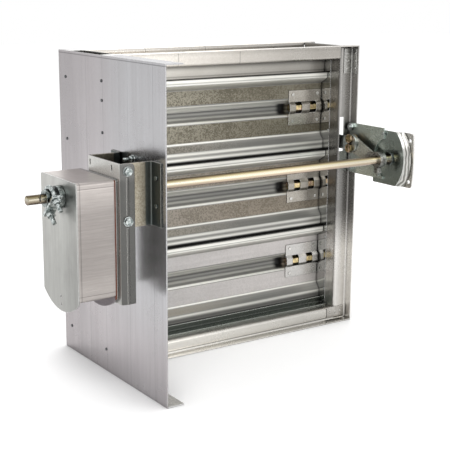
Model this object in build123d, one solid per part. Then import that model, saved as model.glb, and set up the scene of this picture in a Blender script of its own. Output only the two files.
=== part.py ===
from build123d import *
from math import cos, pi, radians, sin, sqrt
import os

# Smoke damper with three parallel blades, a long sideplate and a shaft-driven linkage.
# Millimetres. X runs along the blade axles, Y from the front of the frame to its rear,
# Z is up. The origin lies on the underside, in the middle of the frame.

# Frame of four hat channels
frame_width = 457.2
frame_height = 457.2
frame_depth = 127.0
frame_sheet = 1.6
frame_bend = 3.0
flange_depth = 15.0
jamb_depth = 25.4
rail_depth = 22.2
flange_hole_radius = 2.5
flange_hole_spacing = 252.0

# Corner gussets, one at the front and one at the rear of each corner
gusset_sheet = 1.2
gusset_along_rail = 40.0
gusset_along_jamb = 18.0
upper_gusset_height = 40.0
upper_gusset_width = 17.0
upper_gusset_wing = 12.0
clinch_radius = 3.4
clinch_height = 0.7
gusset_edge_gap = 0.4
gusset_rivet_radius = 2.2
gusset_rivet_height = 0.9

# Blades, bent from one sheet each, with a groove for the axles
blade_count = 3
blade_sheet = 1.6
blade_bend = 1.5
blade_end_gap = 2.0
blade_forward = 2.5
stop_reach = 14.4
top_lip_reach = 16.0
top_lip_drop = 8.0
top_lip_height = 8.5
top_incline_height = 9.5
bottom_lip_reach = 8.0
bottom_lip_drop = 12.0
bottom_lip_height = 21.5
bottom_incline_height = 10.5
groove_floor_half = 4.5
groove_slope = 1.0

# Edge seals behind the top lips of the blades and behind the sill stop
seal_radius = 2.5
seal_stem = 1.4
seal_stem_height = 6.0
seal_gap = 0.4
sill_seal_height = 7.0

# Stops that the closed blades meet
stop_sheet = 1.6
stop_foot = 18.0
head_stop_drop = 28.0
sill_stop_rise = 10.3
sill_stop_gap = 2.0

# Spring seals on the jambs
jamb_seal_sheet = 0.5
jamb_seal_width = 50.0
jamb_seal_rise = 1.2
jamb_seal_hole_radius = 13.0

# Stub axles and their bushes
hex_across_flats = 12.7
axle_in_blade = 62.0
journal_radius = 6.3
running_gap = 0.05
bush_radius = 9.5
bush_flange_radius = 11.5
bush_flange = 1.4
bush_tail = 1.0
drive_hex_flats = 9.5
press_gap = 0.05

# Plates that clamp the axles to the blades
axle_plate_sheet = 1.6
axle_plate_width = 66.0
axle_plate_height = 56.0
axle_plate_window = 13.0
axle_plate_outer_band = 12.0
axle_plate_window_height = 19.0
axle_plate_mouth_half = 9.5
plate_rivet_inset = 8.0
plate_rivet_rise = 21.5
plate_rivet_radius = 2.6
plate_rivet_height = 0.9

# Linkage: equal cranks at the shaft and at every blade, one tie bar and one drive link
crank_radius = 25.4
link_sheet = 3.0
side_gap = 0.7
blade_crank_hub_radius = 13.0
blade_crank_eye_radius = 9.0
pin_radius = 4.0
pin_head_radius = 6.0
pin_head = 1.6
free_pin_gap = 0.3
tie_bar_width = 19.0
tab_height = 22.0
link_end_radius = 14.5
link_end_forward = 6.0
link_end_rise = 16.0
link_boss_radius = 9.0
link_bolt_spacing = 15.0
link_bolt_flats = 13.0
link_bolt_head = 4.5
link_bolt_radius = 3.5
link_bolt_tail = 4.0
jamb_slot_height = 56.0
jamb_slot_below = 4.5
jamb_slot_inner = 4.5
jamb_slot_outer = 1.0

# Shaft across the front of the blades, and its crank
shaft_radius = 6.35
shaft_forward = 80.0
shaft_height = 286.0
shaft_free_end = 155.0
shaft_chamfer = 1.0
shaft_past_bracket = 2.0
crank_arm_sheet = 3.0
crank_hub_radius = 12.0
crank_hub_length = 11.5
set_screw_flats = 8.0
set_screw_reach = 20.5
set_screw_radius = 3.0

# Bracket that carries the shaft's right end
bracket_sheet = 2.5
bracket_above = 47.0
bracket_below = 34.0
bracket_nose = 10.5
bracket_window_radius = 32.0
bearing_plate_below = 41.5
bearing_plate_above = 43.5
bearing_plate_behind = 35.0
bearing_plate_reach = 44.5
bearing_plate_bow = 2.5
bearing_plate_corner = 5.0
bearing_step = 8.0
bearing_step_centre = 25.0
bearing_step_inner_radius = 59.0
bearing_step_width = 7.0
bearing_hole_forward = 38.0
bearing_hole_spacing = 64.0
bearing_hole_radius = 3.0
bracket_bolt_flats = 11.0
bracket_bolt_head = 4.0
bracket_bolt_radius = 3.2
bracket_bolt_inset = 7.5
bracket_bolt_edge = 6.5
bracket_bolt_lower_edge = 10.0
bracket_screw_radius = 3.0
bracket_screw_behind = (12.0, 21.0)
bracket_screw_rises = (38.0, -28.5)

# Bearings of the shaft
bearing_flange_radius = 11.0
bearing_barrel_radius = 8.5
bearing_flange = 2.5
bearing_length = 8.0

# Sideplate, longer than the frame is deep
sideplate_sheet = 1.6
sideplate_front = 164.0
sideplate_rear = 14.0
sideplate_flange = 25.0
side_rivet_radius = 2.2
side_rivet_height = 0.8
side_rivet_rear_rise = 38.0
side_rivet_rear_drops = (129.0, 38.0)
side_rivet_front_rise = 33.0
side_rivet_front_drops = (107.0, 62.0, 35.0)

# Channel that carries the actuator, on two angle brackets
standoff = 47.0
channel_sheet = 2.0
channel_front = 53.0
channel_rear = 38.0
channel_flange = 21.0
channel_above = 44.5
channel_below = 142.5
channel_bend = 2.0
channel_corner = 6.0
channel_hole_spacing = 60.0
channel_hole_rise = 36.0
channel_slot_width = 3.2
channel_slot_height = 9.0
rib_radius = 1.6
rib_bolt_gap = 8.0
angle_height = 84.5
angle_foot = 25.0
angle_end_gap = 2.4
mount_bolt_flats = 10.0
mount_bolt_radius = 3.0
mount_bolt_head = 4.0
mount_bolt_rises = (34.5, -31.0)
mount_screw_radius = 3.2
mount_screw_head = 1.6
mount_screw_rises = (23.7, -13.0)

# Actuator
case_front = 44.0
case_rear = 60.0
case_above = 23.5
case_below = 133.0
case_depth = 52.5
case_sheet = 1.2
case_corner = 4.0
plate_drop = 22.0
plate_corner_rise = 2.0
base_sheet = 2.0
gasket_sheet = 2.0
face_sheet = 1.5
shaft_hole_gap = 1.2
face_hole_radius = 1.6
face_hole_spacing = 11.0

# Inside the actuator
gear_teeth = 36
gear_root_radius = 17.5
gear_tooth_height = 2.0
gear_width = 8.0
spring_drum_radius = 20.0
spring_drum_width = 16.0
spring_drum_wall = 1.5
motor_radius = 22.0
motor_length = 30.0
motor_below = 84.0
gearbox_width = 60.0
gearbox_depth = 14.0

# Clamp between the actuator and the shaft
clamp_angle = 225.0
hub_radius = 15.0
hub_length = 7.5
hub_gap = 0.3
collar_radius = 10.7
collar_length = 16.0
ubolt_radius = 3.0
ubolt_reach = 31.0
jaw_sheet = 3.0
jaw_width = 42.0
jaw_depth = 15.0
clamp_nut_flats = 11.0
clamp_nut_height = 5.5
clip_wire_radius = 0.6
clip_reach = 8.0
clip_drop = 9.0
clip_groove = 0.3

# Places worked out from the sizes above
half_width = frame_width / 2
half_depth = frame_depth / 2
leg_y = half_depth - flange_depth
web_x = half_width - jamb_depth
web_back_x = web_x + frame_sheet
sill_z = rail_depth
head_z = frame_height - rail_depth
pitch = (head_z - sill_z - 2 * stop_reach) / blade_count
axle_heights = [sill_z + stop_reach + pitch * (i + 0.5) for i in range(blade_count)][::-1]
hex_half = hex_across_flats / 2
flat_y = -blade_forward
groove_half = groove_floor_half + (hex_half + blade_forward) * groove_slope
blade_end = web_x - blade_end_gap
lip_y = flat_y - top_lip_reach
bottom_lip_y = flat_y - bottom_lip_reach
blade_top = pitch / 2 - top_lip_drop
blade_bottom = -pitch / 2 - bottom_lip_drop
sideplate_x = -half_width - sideplate_sheet
shaft_y = -half_depth - shaft_forward
pin_dy = crank_radius
crank_x = web_back_x + bush_tail + 0.5
tie_x = crank_x + link_sheet + side_gap
link_end_y = -half_depth - link_end_forward
link_end_z = shaft_height + link_end_rise
link_x = tie_x + link_sheet
shaft_crank_x = link_x - side_gap - crank_arm_sheet
pin_end_x = link_x + link_sheet + side_gap
bracket_x = half_width - frame_sheet - bracket_sheet
bearing_x = bracket_x + bracket_sheet
channel_x = sideplate_x - standoff - channel_sheet
base_x = channel_x - base_sheet
gasket_x = base_x - gasket_sheet
case_x = gasket_x - case_depth
face_x = case_x - face_sheet
hub_x = face_x - hub_gap - hub_length
clamp_x = hub_x - jaw_depth / 2 - 0.3
collar_x = hub_x - collar_length


def sheet_face(points, sheet, bend):
    """Section of a bent sheet; points run along one face and the sheet lies on their left."""
    path = [Vector(*point) for point in points]
    headings = [(b - a).normalized() for a, b in zip(path, path[1:])]
    lefts = [Vector(-heading.Y, heading.X) for heading in headings]
    far = [path[0] + lefts[0] * sheet]
    near_radii = [0]
    far_radii = [0]
    for corner, before, after in zip(path[1:-1], lefts, lefts[1:]):
        far.append(corner + (before + after) * (sheet / (1 + before.dot(after))))
        turns_left = before.cross(after).Z > 0
        near_radii.append(bend + sheet if turns_left else bend)
        far_radii.append(bend if turns_left else bend + sheet)
    far.append(path[-1] + lefts[-1] * sheet)
    radii = near_radii + [0, 0] + far_radii[:0:-1] + [0]
    return make_face(FilletPolyline(*path, *reversed(far), radius=radii, close=True))


def across(face, x_start, x_end):
    """Solid of a section drawn in Y and Z, from one X to another."""
    return extrude(Plane.YZ.offset(x_start) * face, amount=x_end - x_start)


def bar_x(radius, y, z, x_start, x_end):
    """Round bar along X."""
    return across(Pos(y, z) * Circle(radius), x_start, x_end)


def hex_x(flats, y, z, x_start, x_end, turn=0.0):
    """Hexagonal bar along X."""
    outline = Rot(0, 0, turn) * RegularPolygon(flats / sqrt(3), 6)
    return across(Pos(y, z) * outline, x_start, x_end)


def block(x_span, y_span, z_span):
    """Box between two values on each axis."""
    corner = Pos(x_span[0], y_span[0], z_span[0])
    size = (x_span[1] - x_span[0], y_span[1] - y_span[0], z_span[1] - z_span[0])
    return corner * Box(*size, align=(Align.MIN, Align.MIN, Align.MIN))


def arm_face(y1, z1, radius1, y2, z2, radius2):
    """Flat arm between two round ends, drawn in Y and Z."""
    near = Pos(y1, z1) * Circle(radius1)
    far = Pos(y2, z2) * Circle(radius2)
    return make_face(make_hull(near.edges() + far.edges()))


def hat_face(depth):
    """Section of a frame channel: X across the frame's depth, Y inwards from the duct wall."""
    points = [
        (half_depth, frame_sheet),
        (leg_y, frame_sheet),
        (leg_y, depth),
        (-leg_y, depth),
        (-leg_y, frame_sheet),
        (-half_depth, frame_sheet),
    ]
    return sheet_face(points, frame_sheet, frame_bend)


def jamb(side):
    """Upright channel; side is 1 on the right and -1 on the left."""
    plane = Plane(origin=(side * half_width, 0, 0), x_dir=(0, 1, 0), z_dir=(0, 0, side))
    body = extrude(plane * hat_face(jamb_depth), amount=side * frame_height)
    for height in axle_heights:
        body -= bar_x(bush_radius + press_gap, 0, height, side * web_x - 5, side * web_x + 5)
    if side > 0:
        body -= link_slot()
        for rise in bracket_bolt_heights():
            body -= bar_x(bracket_bolt_radius + 0.1, bracket_bolt_y(), rise, web_x, half_width + 1)
    return body


def link_slot():
    """Slot in the front leg of the right jamb, for the tab of the tie bar."""
    bottom = link_end_z - tab_height / 2 - jamb_slot_below
    return block(
        (tie_x - jamb_slot_inner, tie_x + link_sheet + jamb_slot_outer),
        (-leg_y - 1, -leg_y + frame_sheet + frame_bend),
        (bottom, bottom + jamb_slot_height),
    )


def rail(base_z, side):
    """Channel between the jambs; side is 1 for the sill and -1 for the head."""
    plane = Plane(origin=(0, 0, base_z), x_dir=(0, 1, 0), z_dir=(side, 0, 0))
    half_length = half_width - frame_sheet
    body = extrude(plane * hat_face(rail_depth), amount=half_length, both=True)
    bend_room = frame_bend + 0.2
    for end in (-1, 1):
        body -= block(sorted((end * web_x, end * half_width)), (-leg_y, leg_y), (-1, frame_height + 1))
        ends = sorted((end * (half_length - bend_room), end * half_width))
        body -= block(ends, (-leg_y - bend_room, leg_y + bend_room), (-1, frame_height + 1))
    half_spacing = flange_hole_spacing / 2
    hole_y = half_depth - flange_depth / 2
    for x in (-half_spacing, half_spacing):
        for y in (-hole_y, hole_y):
            body -= Pos(x, y, base_z) * Cylinder(flange_hole_radius, 4 * frame_sheet)
    return body


def lower_gussets():
    """Four corner plates on the legs of the sill and the jambs, each with three rivet heads."""
    outer_x = half_width - frame_sheet - frame_bend - gusset_edge_gap
    inner_x = web_x - gusset_along_rail + jamb_depth
    low = frame_sheet + frame_bend + gusset_edge_gap
    high = low + gusset_along_jamb
    pieces = []
    for end in (-1, 1):
        for face in (-1, 1):
            x_span = sorted((end * outer_x, end * inner_x))
            y_span = sorted((face * leg_y, face * (leg_y + gusset_sheet)))
            plate = block(x_span, y_span, (low, high))
            for step in (0.2, 0.5, 0.8):
                x = end * (inner_x + (outer_x - inner_x) * step)
                y = face * (leg_y + gusset_sheet + gusset_rivet_height / 2)
                head = Cylinder(gusset_rivet_radius, gusset_rivet_height)
                plate += Pos(x, y, (low + high) / 2) * Rot(90, 0, 0) * head
            pieces.append(plate)
    return pieces


def upper_gusset():
    """Bent corner clip on the leg and flange of the right jamb, with six clinch marks."""
    flange_x = half_width - frame_sheet
    points = [
        (flange_x, -leg_y - upper_gusset_wing),
        (flange_x, -leg_y),
        (flange_x - upper_gusset_width, -leg_y),
    ]
    top = frame_height - frame_sheet - frame_bend - gusset_edge_gap
    face = sheet_face(points, gusset_sheet, frame_bend - gusset_sheet)
    clip = Pos(0, 0, top - upper_gusset_height) * extrude(face, amount=upper_gusset_height)
    lower_half = Pos(0, -clinch_radius) * Rectangle(3 * clinch_radius, 2 * clinch_radius)
    mark = Pos(0, clinch_radius / 2) * (Circle(clinch_radius) & lower_half)
    for step in (0.2, 0.5, 0.8):
        z = top - upper_gusset_height * step
        leg_x = flange_x - upper_gusset_width + 7
        on_leg = Plane(origin=(leg_x, -leg_y - gusset_sheet, z), x_dir=(1, 0, 0), z_dir=(0, -1, 0))
        wing_y = -leg_y - upper_gusset_wing + 5
        on_wing = Plane(origin=(flange_x - gusset_sheet, wing_y, z), x_dir=(0, -1, 0), z_dir=(-1, 0, 0))
        clip += extrude(on_leg * mark, amount=clinch_height)
        clip += extrude(on_wing * mark, amount=clinch_height)
    return clip


def upper_gussets():
    """The corner clip mirrored to all four upper corners."""
    right_front = upper_gusset()
    right_rear = mirror(right_front, about=Plane.XZ)
    left_front = mirror(right_front, about=Plane.YZ)
    left_rear = mirror(right_rear, about=Plane.YZ)
    return [right_front, right_rear, left_front, left_rear]


def head_stop():
    """Angle under the head that the top lip of the upper blade closes against."""
    points = [
        (bottom_lip_y + stop_foot, head_z),
        (bottom_lip_y, head_z),
        (bottom_lip_y, head_z - head_stop_drop),
    ]
    return across(sheet_face(points, stop_sheet, blade_bend), -blade_end, blade_end)


def sill_stop():
    """Angle on the sill in front of the lowest blade's bottom lip."""
    back_y = bottom_lip_y - sill_stop_gap
    points = [
        (back_y, sill_z + sill_stop_rise),
        (back_y, sill_z),
        (back_y - stop_foot, sill_z),
    ]
    face = sheet_face(points[::-1], stop_sheet, blade_bend)
    return across(face, -blade_end, blade_end)


def sill_seal():
    """Flat seal strip behind the sill stop."""
    back_y = bottom_lip_y - sill_stop_gap
    top = sill_z + sill_stop_rise
    return block((-blade_end, blade_end), (back_y, back_y + seal_stem), (top - sill_seal_height, top))


def blade_seal():
    """Seal strip behind the top lip, with a bulb that meets the blade above."""
    front_y = lip_y + blade_sheet
    bulb_y = bottom_lip_y - seal_gap - seal_radius
    bulb_z = blade_top - seal_radius
    stem = Pos(front_y + seal_stem / 2, blade_top - seal_stem_height / 2)
    face = stem * Rectangle(seal_stem, seal_stem_height)
    face += Pos(bulb_y, bulb_z) * Circle(seal_radius)
    face += Pos((front_y + bulb_y) / 2, bulb_z) * Rectangle(bulb_y - front_y, seal_stem)
    return across(face, -blade_end, blade_end)


def jamb_seal(side):
    """Arched spring strip on the web of a jamb, with a hole round each bush."""
    half = jamb_seal_width / 2
    outer = ThreePointArc((web_x, -half), (web_x - jamb_seal_rise, 0), (web_x, half))
    inner_rise = jamb_seal_rise + jamb_seal_sheet
    tail = jamb_seal_sheet
    face = make_face(
        Curve()
        + Polyline((web_x - tail, -half), (web_x, -half))
        + outer
        + Polyline((web_x, half), (web_x - tail, half))
        + ThreePointArc((web_x - tail, half), (web_x - inner_rise, 0), (web_x - tail, -half))
    )
    low = sill_z + frame_sheet
    strip = Pos(0, 0, low) * extrude(face, amount=head_z - sill_z - 2 * frame_sheet)
    for height in axle_heights:
        strip -= bar_x(jamb_seal_hole_radius, 0, height, web_x - 10, web_x + 1)
    return strip if side > 0 else mirror(strip, about=Plane.YZ)


def bush(side, height):
    """Flanged bush in the web of a jamb."""
    inner_face = web_x - bush_flange
    body = bar_x(bush_flange_radius, 0, height, inner_face, web_x)
    tail_x = web_back_x + bush_tail
    body += bar_x(bush_radius, 0, height, web_x, tail_x)
    body -= bar_x(journal_radius + running_gap, 0, height, inner_face - 1, tail_x + 1)
    return body if side > 0 else mirror(body, about=Plane.YZ)


def blade():
    """One blade about its axle line, bent from one sheet."""
    points = [
        (lip_y, blade_top),
        (lip_y, blade_top - top_lip_height),
        (flat_y, blade_top - top_lip_height - top_incline_height),
        (flat_y, groove_half),
        (hex_half, groove_floor_half),
        (hex_half, -groove_floor_half),
        (flat_y, -groove_half),
        (flat_y, blade_bottom + bottom_lip_height + bottom_incline_height),
        (bottom_lip_y, blade_bottom + bottom_lip_height),
        (bottom_lip_y, blade_bottom),
    ]
    return across(sheet_face(points, blade_sheet, blade_bend), -blade_end, blade_end)


def stub_axle(side):
    """Hexagonal stub in the blade's groove, with a round journal in the bush."""
    shoulder = blade_end - 0.7
    tail_x = web_back_x + bush_tail
    body = hex_x(hex_across_flats, 0, 0, blade_end - axle_in_blade, shoulder, 30)
    if side > 0:
        body += bar_x(journal_radius, 0, 0, shoulder, tail_x + 0.2)
        body += hex_x(drive_hex_flats, 0, 0, tail_x + 0.2, crank_x + link_sheet)
    else:
        body += bar_x(journal_radius, 0, 0, shoulder, tail_x + 2)
        body = mirror(body, about=Plane.YZ)
    return body


def axle_plate(side):
    """Plate over a stub axle: three bent bands with two windows between them."""
    half = axle_plate_height / 2
    mouth = axle_plate_mouth_half
    points = [
        (flat_y, -half),
        (flat_y, -mouth),
        (-hex_half, -groove_floor_half),
        (-hex_half, groove_floor_half),
        (flat_y, mouth),
        (flat_y, half),
    ]
    face = sheet_face(points, axle_plate_sheet, 1.0)
    outer_x = blade_end - 0.5
    body = across(face, outer_x - axle_plate_width, outer_x)
    inset = axle_plate_outer_band + axle_plate_window / 2
    for centre in (outer_x - inset, outer_x - axle_plate_width + inset):
        body -= Pos(centre, 0, 0) * Box(axle_plate_window, axle_plate_width, axle_plate_window_height)
    return body if side > 0 else mirror(body, about=Plane.YZ)


def plate_rivets(side):
    """Rivet heads of one axle plate."""
    outer_x = blade_end - 0.5
    y = flat_y - axle_plate_sheet - plate_rivet_height / 2
    heads = []
    for x in (outer_x - plate_rivet_inset, outer_x - axle_plate_width + plate_rivet_inset):
        for z in (-plate_rivet_rise, plate_rivet_rise):
            head = Pos(side * x, y, z) * Rot(90, 0, 0) * Cylinder(plate_rivet_radius, plate_rivet_height)
            heads.append(head)
    return heads


def blade_crank():
    """Crank on the drive end of a stub axle, with its pin."""
    face = arm_face(0, 0, blade_crank_hub_radius, pin_dy, 0, blade_crank_eye_radius)
    body = across(face, crank_x, crank_x + link_sheet)
    body -= hex_x(drive_hex_flats + 2 * press_gap, 0, 0, crank_x - 1, crank_x + link_sheet + 1)
    head_x = tie_x + link_sheet + side_gap
    body += bar_x(pin_radius, pin_dy, 0, crank_x + link_sheet, head_x)
    body += bar_x(pin_head_radius, pin_dy, 0, head_x, head_x + pin_head)
    return body


def tie_bar():
    """Bar along the blade cranks, with a tab through the jamb's slot."""
    bar_y = pin_dy
    low = axle_heights[-1]
    high = axle_heights[0]
    face = Pos(bar_y, (low + high) / 2) * SlotCenterToCenter(high - low, tie_bar_width, rotation=90)
    tab = Pos((bar_y + link_end_y) / 2, link_end_z) * Rectangle(bar_y - link_end_y, tab_height)
    face += tab
    face += Pos(link_end_y, link_end_z) * Circle(link_end_radius)
    body = across(face, tie_x, tie_x + link_sheet)
    hole_radius = pin_radius + free_pin_gap
    for height in axle_heights:
        body -= bar_x(hole_radius, bar_y, height, tie_x - 1, tie_x + link_sheet + 1)
    for y, z in link_bolt_places():
        body -= bar_x(link_bolt_radius + press_gap, y, z, tie_x - 1, tie_x + link_sheet + 1)
    return body


def link_bolt_places():
    """Centres of the two bolts that join the drive link and the tie bar."""
    half = link_bolt_spacing / 2
    return [(link_end_y, link_end_z + half), (link_end_y, link_end_z - half)]


def drive_link():
    """Link from the shaft's crank pin to the tab of the tie bar."""
    pin_y = shaft_y + pin_dy
    face = arm_face(link_end_y, link_end_z, link_end_radius, pin_y, shaft_height, link_boss_radius)
    body = across(face, link_x, link_x + link_sheet)
    hole_radius = pin_radius + running_gap
    body -= bar_x(hole_radius, pin_y, shaft_height, link_x - 1, link_x + link_sheet + 1)
    for y, z in link_bolt_places():
        body -= bar_x(link_bolt_radius + press_gap, y, z, link_x - 1, link_x + link_sheet + 1)
    return body


def link_bolts():
    """Bolts through the drive link and the tab, heads towards the airway."""
    bolts = []
    for y, z in link_bolt_places():
        nut_x = link_x + link_sheet
        bolt = hex_x(link_bolt_flats, y, z, tie_x - link_bolt_head, tie_x, 15)
        bolt += bar_x(link_bolt_radius, y, z, tie_x, nut_x + link_bolt_tail + 2)
        bolt += hex_x(link_bolt_flats, y, z, nut_x, nut_x + link_bolt_tail, 15)
        bolts.append(bolt)
    return bolts


def jackshaft():
    """Round shaft from the actuator to the right bracket, with a groove for the clip."""
    start = sideplate_x - shaft_free_end
    end = bearing_x + bracket_sheet + shaft_past_bracket
    body = bar_x(shaft_radius, shaft_y, shaft_height, start, end)
    body = chamfer(body.edges().filter_by(GeomType.CIRCLE), shaft_chamfer)
    groove_x = collar_x - clip_reach
    ring = bar_x(shaft_radius + 1, shaft_y, shaft_height, groove_x - 0.8, groove_x + 0.8)
    ring -= bar_x(shaft_radius - clip_groove, shaft_y, shaft_height, groove_x - 1, groove_x + 1)
    return body - ring


def shaft_crank():
    """Crank clamped on the shaft, with the pin of the drive link."""
    pin_y = shaft_y + pin_dy
    arm_end = shaft_crank_x + crank_arm_sheet
    hub_start = arm_end - crank_hub_length
    face = arm_face(shaft_y, shaft_height, crank_hub_radius, pin_y, shaft_height, link_boss_radius)
    body = across(face, shaft_crank_x, arm_end)
    body += bar_x(crank_hub_radius, shaft_y, shaft_height, hub_start, arm_end)
    body += bar_x(pin_radius, pin_y, shaft_height, arm_end, pin_end_x)
    body += bar_x(pin_head_radius, pin_y, shaft_height, pin_end_x, pin_end_x + pin_head)
    body -= bar_x(shaft_radius + press_gap, shaft_y, shaft_height, hub_start - 1, arm_end + 1)
    from_top = (Align.CENTER, Align.CENTER, Align.MAX)
    hole = Cylinder(set_screw_radius + press_gap, crank_hub_radius + 1, align=from_top)
    return body - Pos(set_screw_x(), shaft_y, shaft_height) * hole


def set_screw_x():
    """Middle of the part of the crank's hub that is clear of its arm."""
    return shaft_crank_x - (crank_hub_length - crank_arm_sheet) / 2


def set_screw():
    """Square-headed screw under the crank's hub."""
    from_top = (Align.CENTER, Align.CENTER, Align.MAX)
    top = shaft_height - crank_hub_radius
    height = set_screw_reach - crank_hub_radius
    head = Pos(set_screw_x(), shaft_y, top) * Box(set_screw_flats, set_screw_flats, height, align=from_top)
    thread_top = shaft_height - shaft_radius
    thread = Cylinder(set_screw_radius, thread_top - top + 1, align=from_top)
    return head + Pos(set_screw_x(), shaft_y, thread_top) * thread


def bracket_bolt_y():
    """Depth of the bracket's bolts, in the middle of the jamb's front flange."""
    return -half_depth + bracket_bolt_inset


def bracket_bolt_heights():
    """Heights of the bracket's two bolts."""
    top = shaft_height + bracket_above - bracket_bolt_edge
    return (top, shaft_height - bracket_below + bracket_bolt_lower_edge)


def bracket_screw_places():
    """Centres of the screws that join the bracket arm and the bearing plate."""
    pairs = zip(bracket_screw_behind, bracket_screw_rises)
    return [(shaft_y + behind, shaft_height + rise) for behind, rise in pairs]


def bracket_arm():
    """Plate from the jamb's front flange forwards to the bearing plate."""
    rear = -leg_y - frame_bend - 0.2
    front = shaft_y + bracket_nose
    low = shaft_height - bracket_below
    high = shaft_height + bracket_above
    face = Pos((rear + front) / 2, (low + high) / 2) * Rectangle(rear - front, high - low)
    face -= Pos(shaft_y, shaft_height) * Circle(bracket_window_radius)
    body = across(face, bracket_x, bracket_x + bracket_sheet)
    for height in bracket_bolt_heights():
        hole = bar_x(bracket_bolt_radius + press_gap, bracket_bolt_y(), height, bracket_x - 1, bearing_x + 1)
        body -= hole
    for y, z in bracket_screw_places():
        body -= bar_x(bracket_screw_radius / 2 + press_gap, y, z, bracket_x - 1, bearing_x + 1)
    return body


def bearing_plate_face():
    """Outline of the bearing plate with rounded front corners and a bowed front edge."""
    low = shaft_height - bearing_plate_below
    high = shaft_height + bearing_plate_above
    front = shaft_y - bearing_plate_reach
    rear = shaft_y + bearing_plate_behind
    outline = Curve() + Polyline((front, low), (rear, low), (rear, high), (front, high))
    bow_point = (front - bearing_plate_bow, (low + high) / 2)
    outline += ThreePointArc((front, high), bow_point, (front, low))
    face = make_face(outline)
    return fillet(face.vertices().group_by(Axis.X)[0], bearing_plate_corner)


def step_cone(x_start):
    """Cone whose side is the pressed step of the bearing plate."""
    place = Plane(origin=(x_start, shaft_y + bearing_step_centre, shaft_height), z_dir=(1, 0, 0))
    cone = Cone(
        bearing_step_inner_radius,
        bearing_step_inner_radius + bearing_step_width,
        bearing_step,
        align=(Align.CENTER, Align.CENTER, Align.MIN),
    )
    return place * cone


def bearing_plate():
    """Pressed plate that holds the bearing, with a stepped edge and two fixing holes."""
    full = bearing_plate_face()
    edge_x = bearing_x + bearing_step
    body = across(full, bearing_x, edge_x) & step_cone(bearing_x)
    body += across(full, edge_x, edge_x + bracket_sheet)
    body -= step_cone(bearing_x + bracket_sheet)
    body -= bar_x(bearing_barrel_radius + press_gap, shaft_y, shaft_height, bearing_x - 1, bearing_x + 5)
    for z in (-bearing_hole_spacing / 2, bearing_hole_spacing / 2):
        y = shaft_y - bearing_hole_forward
        body -= bar_x(bearing_hole_radius, y, shaft_height + z, bearing_x, edge_x + 5)
    for y, z in bracket_screw_places():
        body -= bar_x(bracket_screw_radius / 2 + press_gap, y, z, bearing_x - 1, bearing_x + 4)
    return body


def bracket_fasteners():
    """Two bolts through the jamb's flange and two screws at the bearing plate."""
    pieces = []
    for height in bracket_bolt_heights():
        y = bracket_bolt_y()
        nut = hex_x(bracket_bolt_flats, y, height, bracket_x - 5, bracket_x)
        nut += bar_x(bracket_bolt_radius, y, height, bracket_x - 7, half_width)
        nut += hex_x(bracket_bolt_flats, y, height, half_width, half_width + bracket_bolt_head)
        pieces.append(nut)
    for y, z in bracket_screw_places():
        head = bar_x(bracket_screw_radius, y, z, bracket_x - 1.5, bracket_x)
        head += bar_x(bracket_screw_radius / 2, y, z, bracket_x, bearing_x + bracket_sheet + 2)
        pieces.append(head)
    return pieces


def shaft_bearing(flange_x, towards):
    """Flanged bearing; the flange starts at flange_x and the barrel runs towards +X or -X."""
    flange_end = flange_x - towards * bearing_flange
    barrel_end = flange_x + towards * (bearing_length - bearing_flange)
    body = bar_x(bearing_flange_radius, shaft_y, shaft_height, *sorted((flange_end, flange_x)))
    body += bar_x(bearing_barrel_radius, shaft_y, shaft_height, *sorted((flange_x, barrel_end)))
    ends = sorted((flange_end, barrel_end))
    body -= bar_x(shaft_radius + running_gap, shaft_y, shaft_height, ends[0] - 1, ends[1] + 1)
    return body


def sideplate():
    """Long plate on the left of the frame, with flanges before and behind it."""
    front = -half_depth - sideplate_front
    rear = half_depth + sideplate_rear
    body = block((sideplate_x, -half_width), (front, rear), (0, frame_height))
    for low in (0, frame_height - sideplate_sheet):
        heights = (low, low + sideplate_sheet)
        reach = (-half_width, -half_width + sideplate_flange)
        body += block(reach, (front, -half_depth - 0.3), heights)
        body += block(reach, (half_depth + 0.3, rear), heights)
    hole = bearing_barrel_radius + press_gap
    body -= bar_x(hole, shaft_y, shaft_height, sideplate_x - 1, -half_width + 1)
    return body


def side_rivets():
    """Rivet heads that fix the sideplate to the left jamb's flanges."""
    rear_y = half_depth - flange_depth / 2
    rear_heights = [side_rivet_rear_rise] + [frame_height - drop for drop in side_rivet_rear_drops]
    front_heights = [side_rivet_front_rise] + [frame_height - drop for drop in side_rivet_front_drops]
    heads = []
    for y, heights in ((rear_y, rear_heights), (-rear_y, front_heights)):
        for height in heights:
            start = sideplate_x - side_rivet_height
            heads.append(bar_x(side_rivet_radius, y, height, start, sideplate_x))
    return heads


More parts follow.
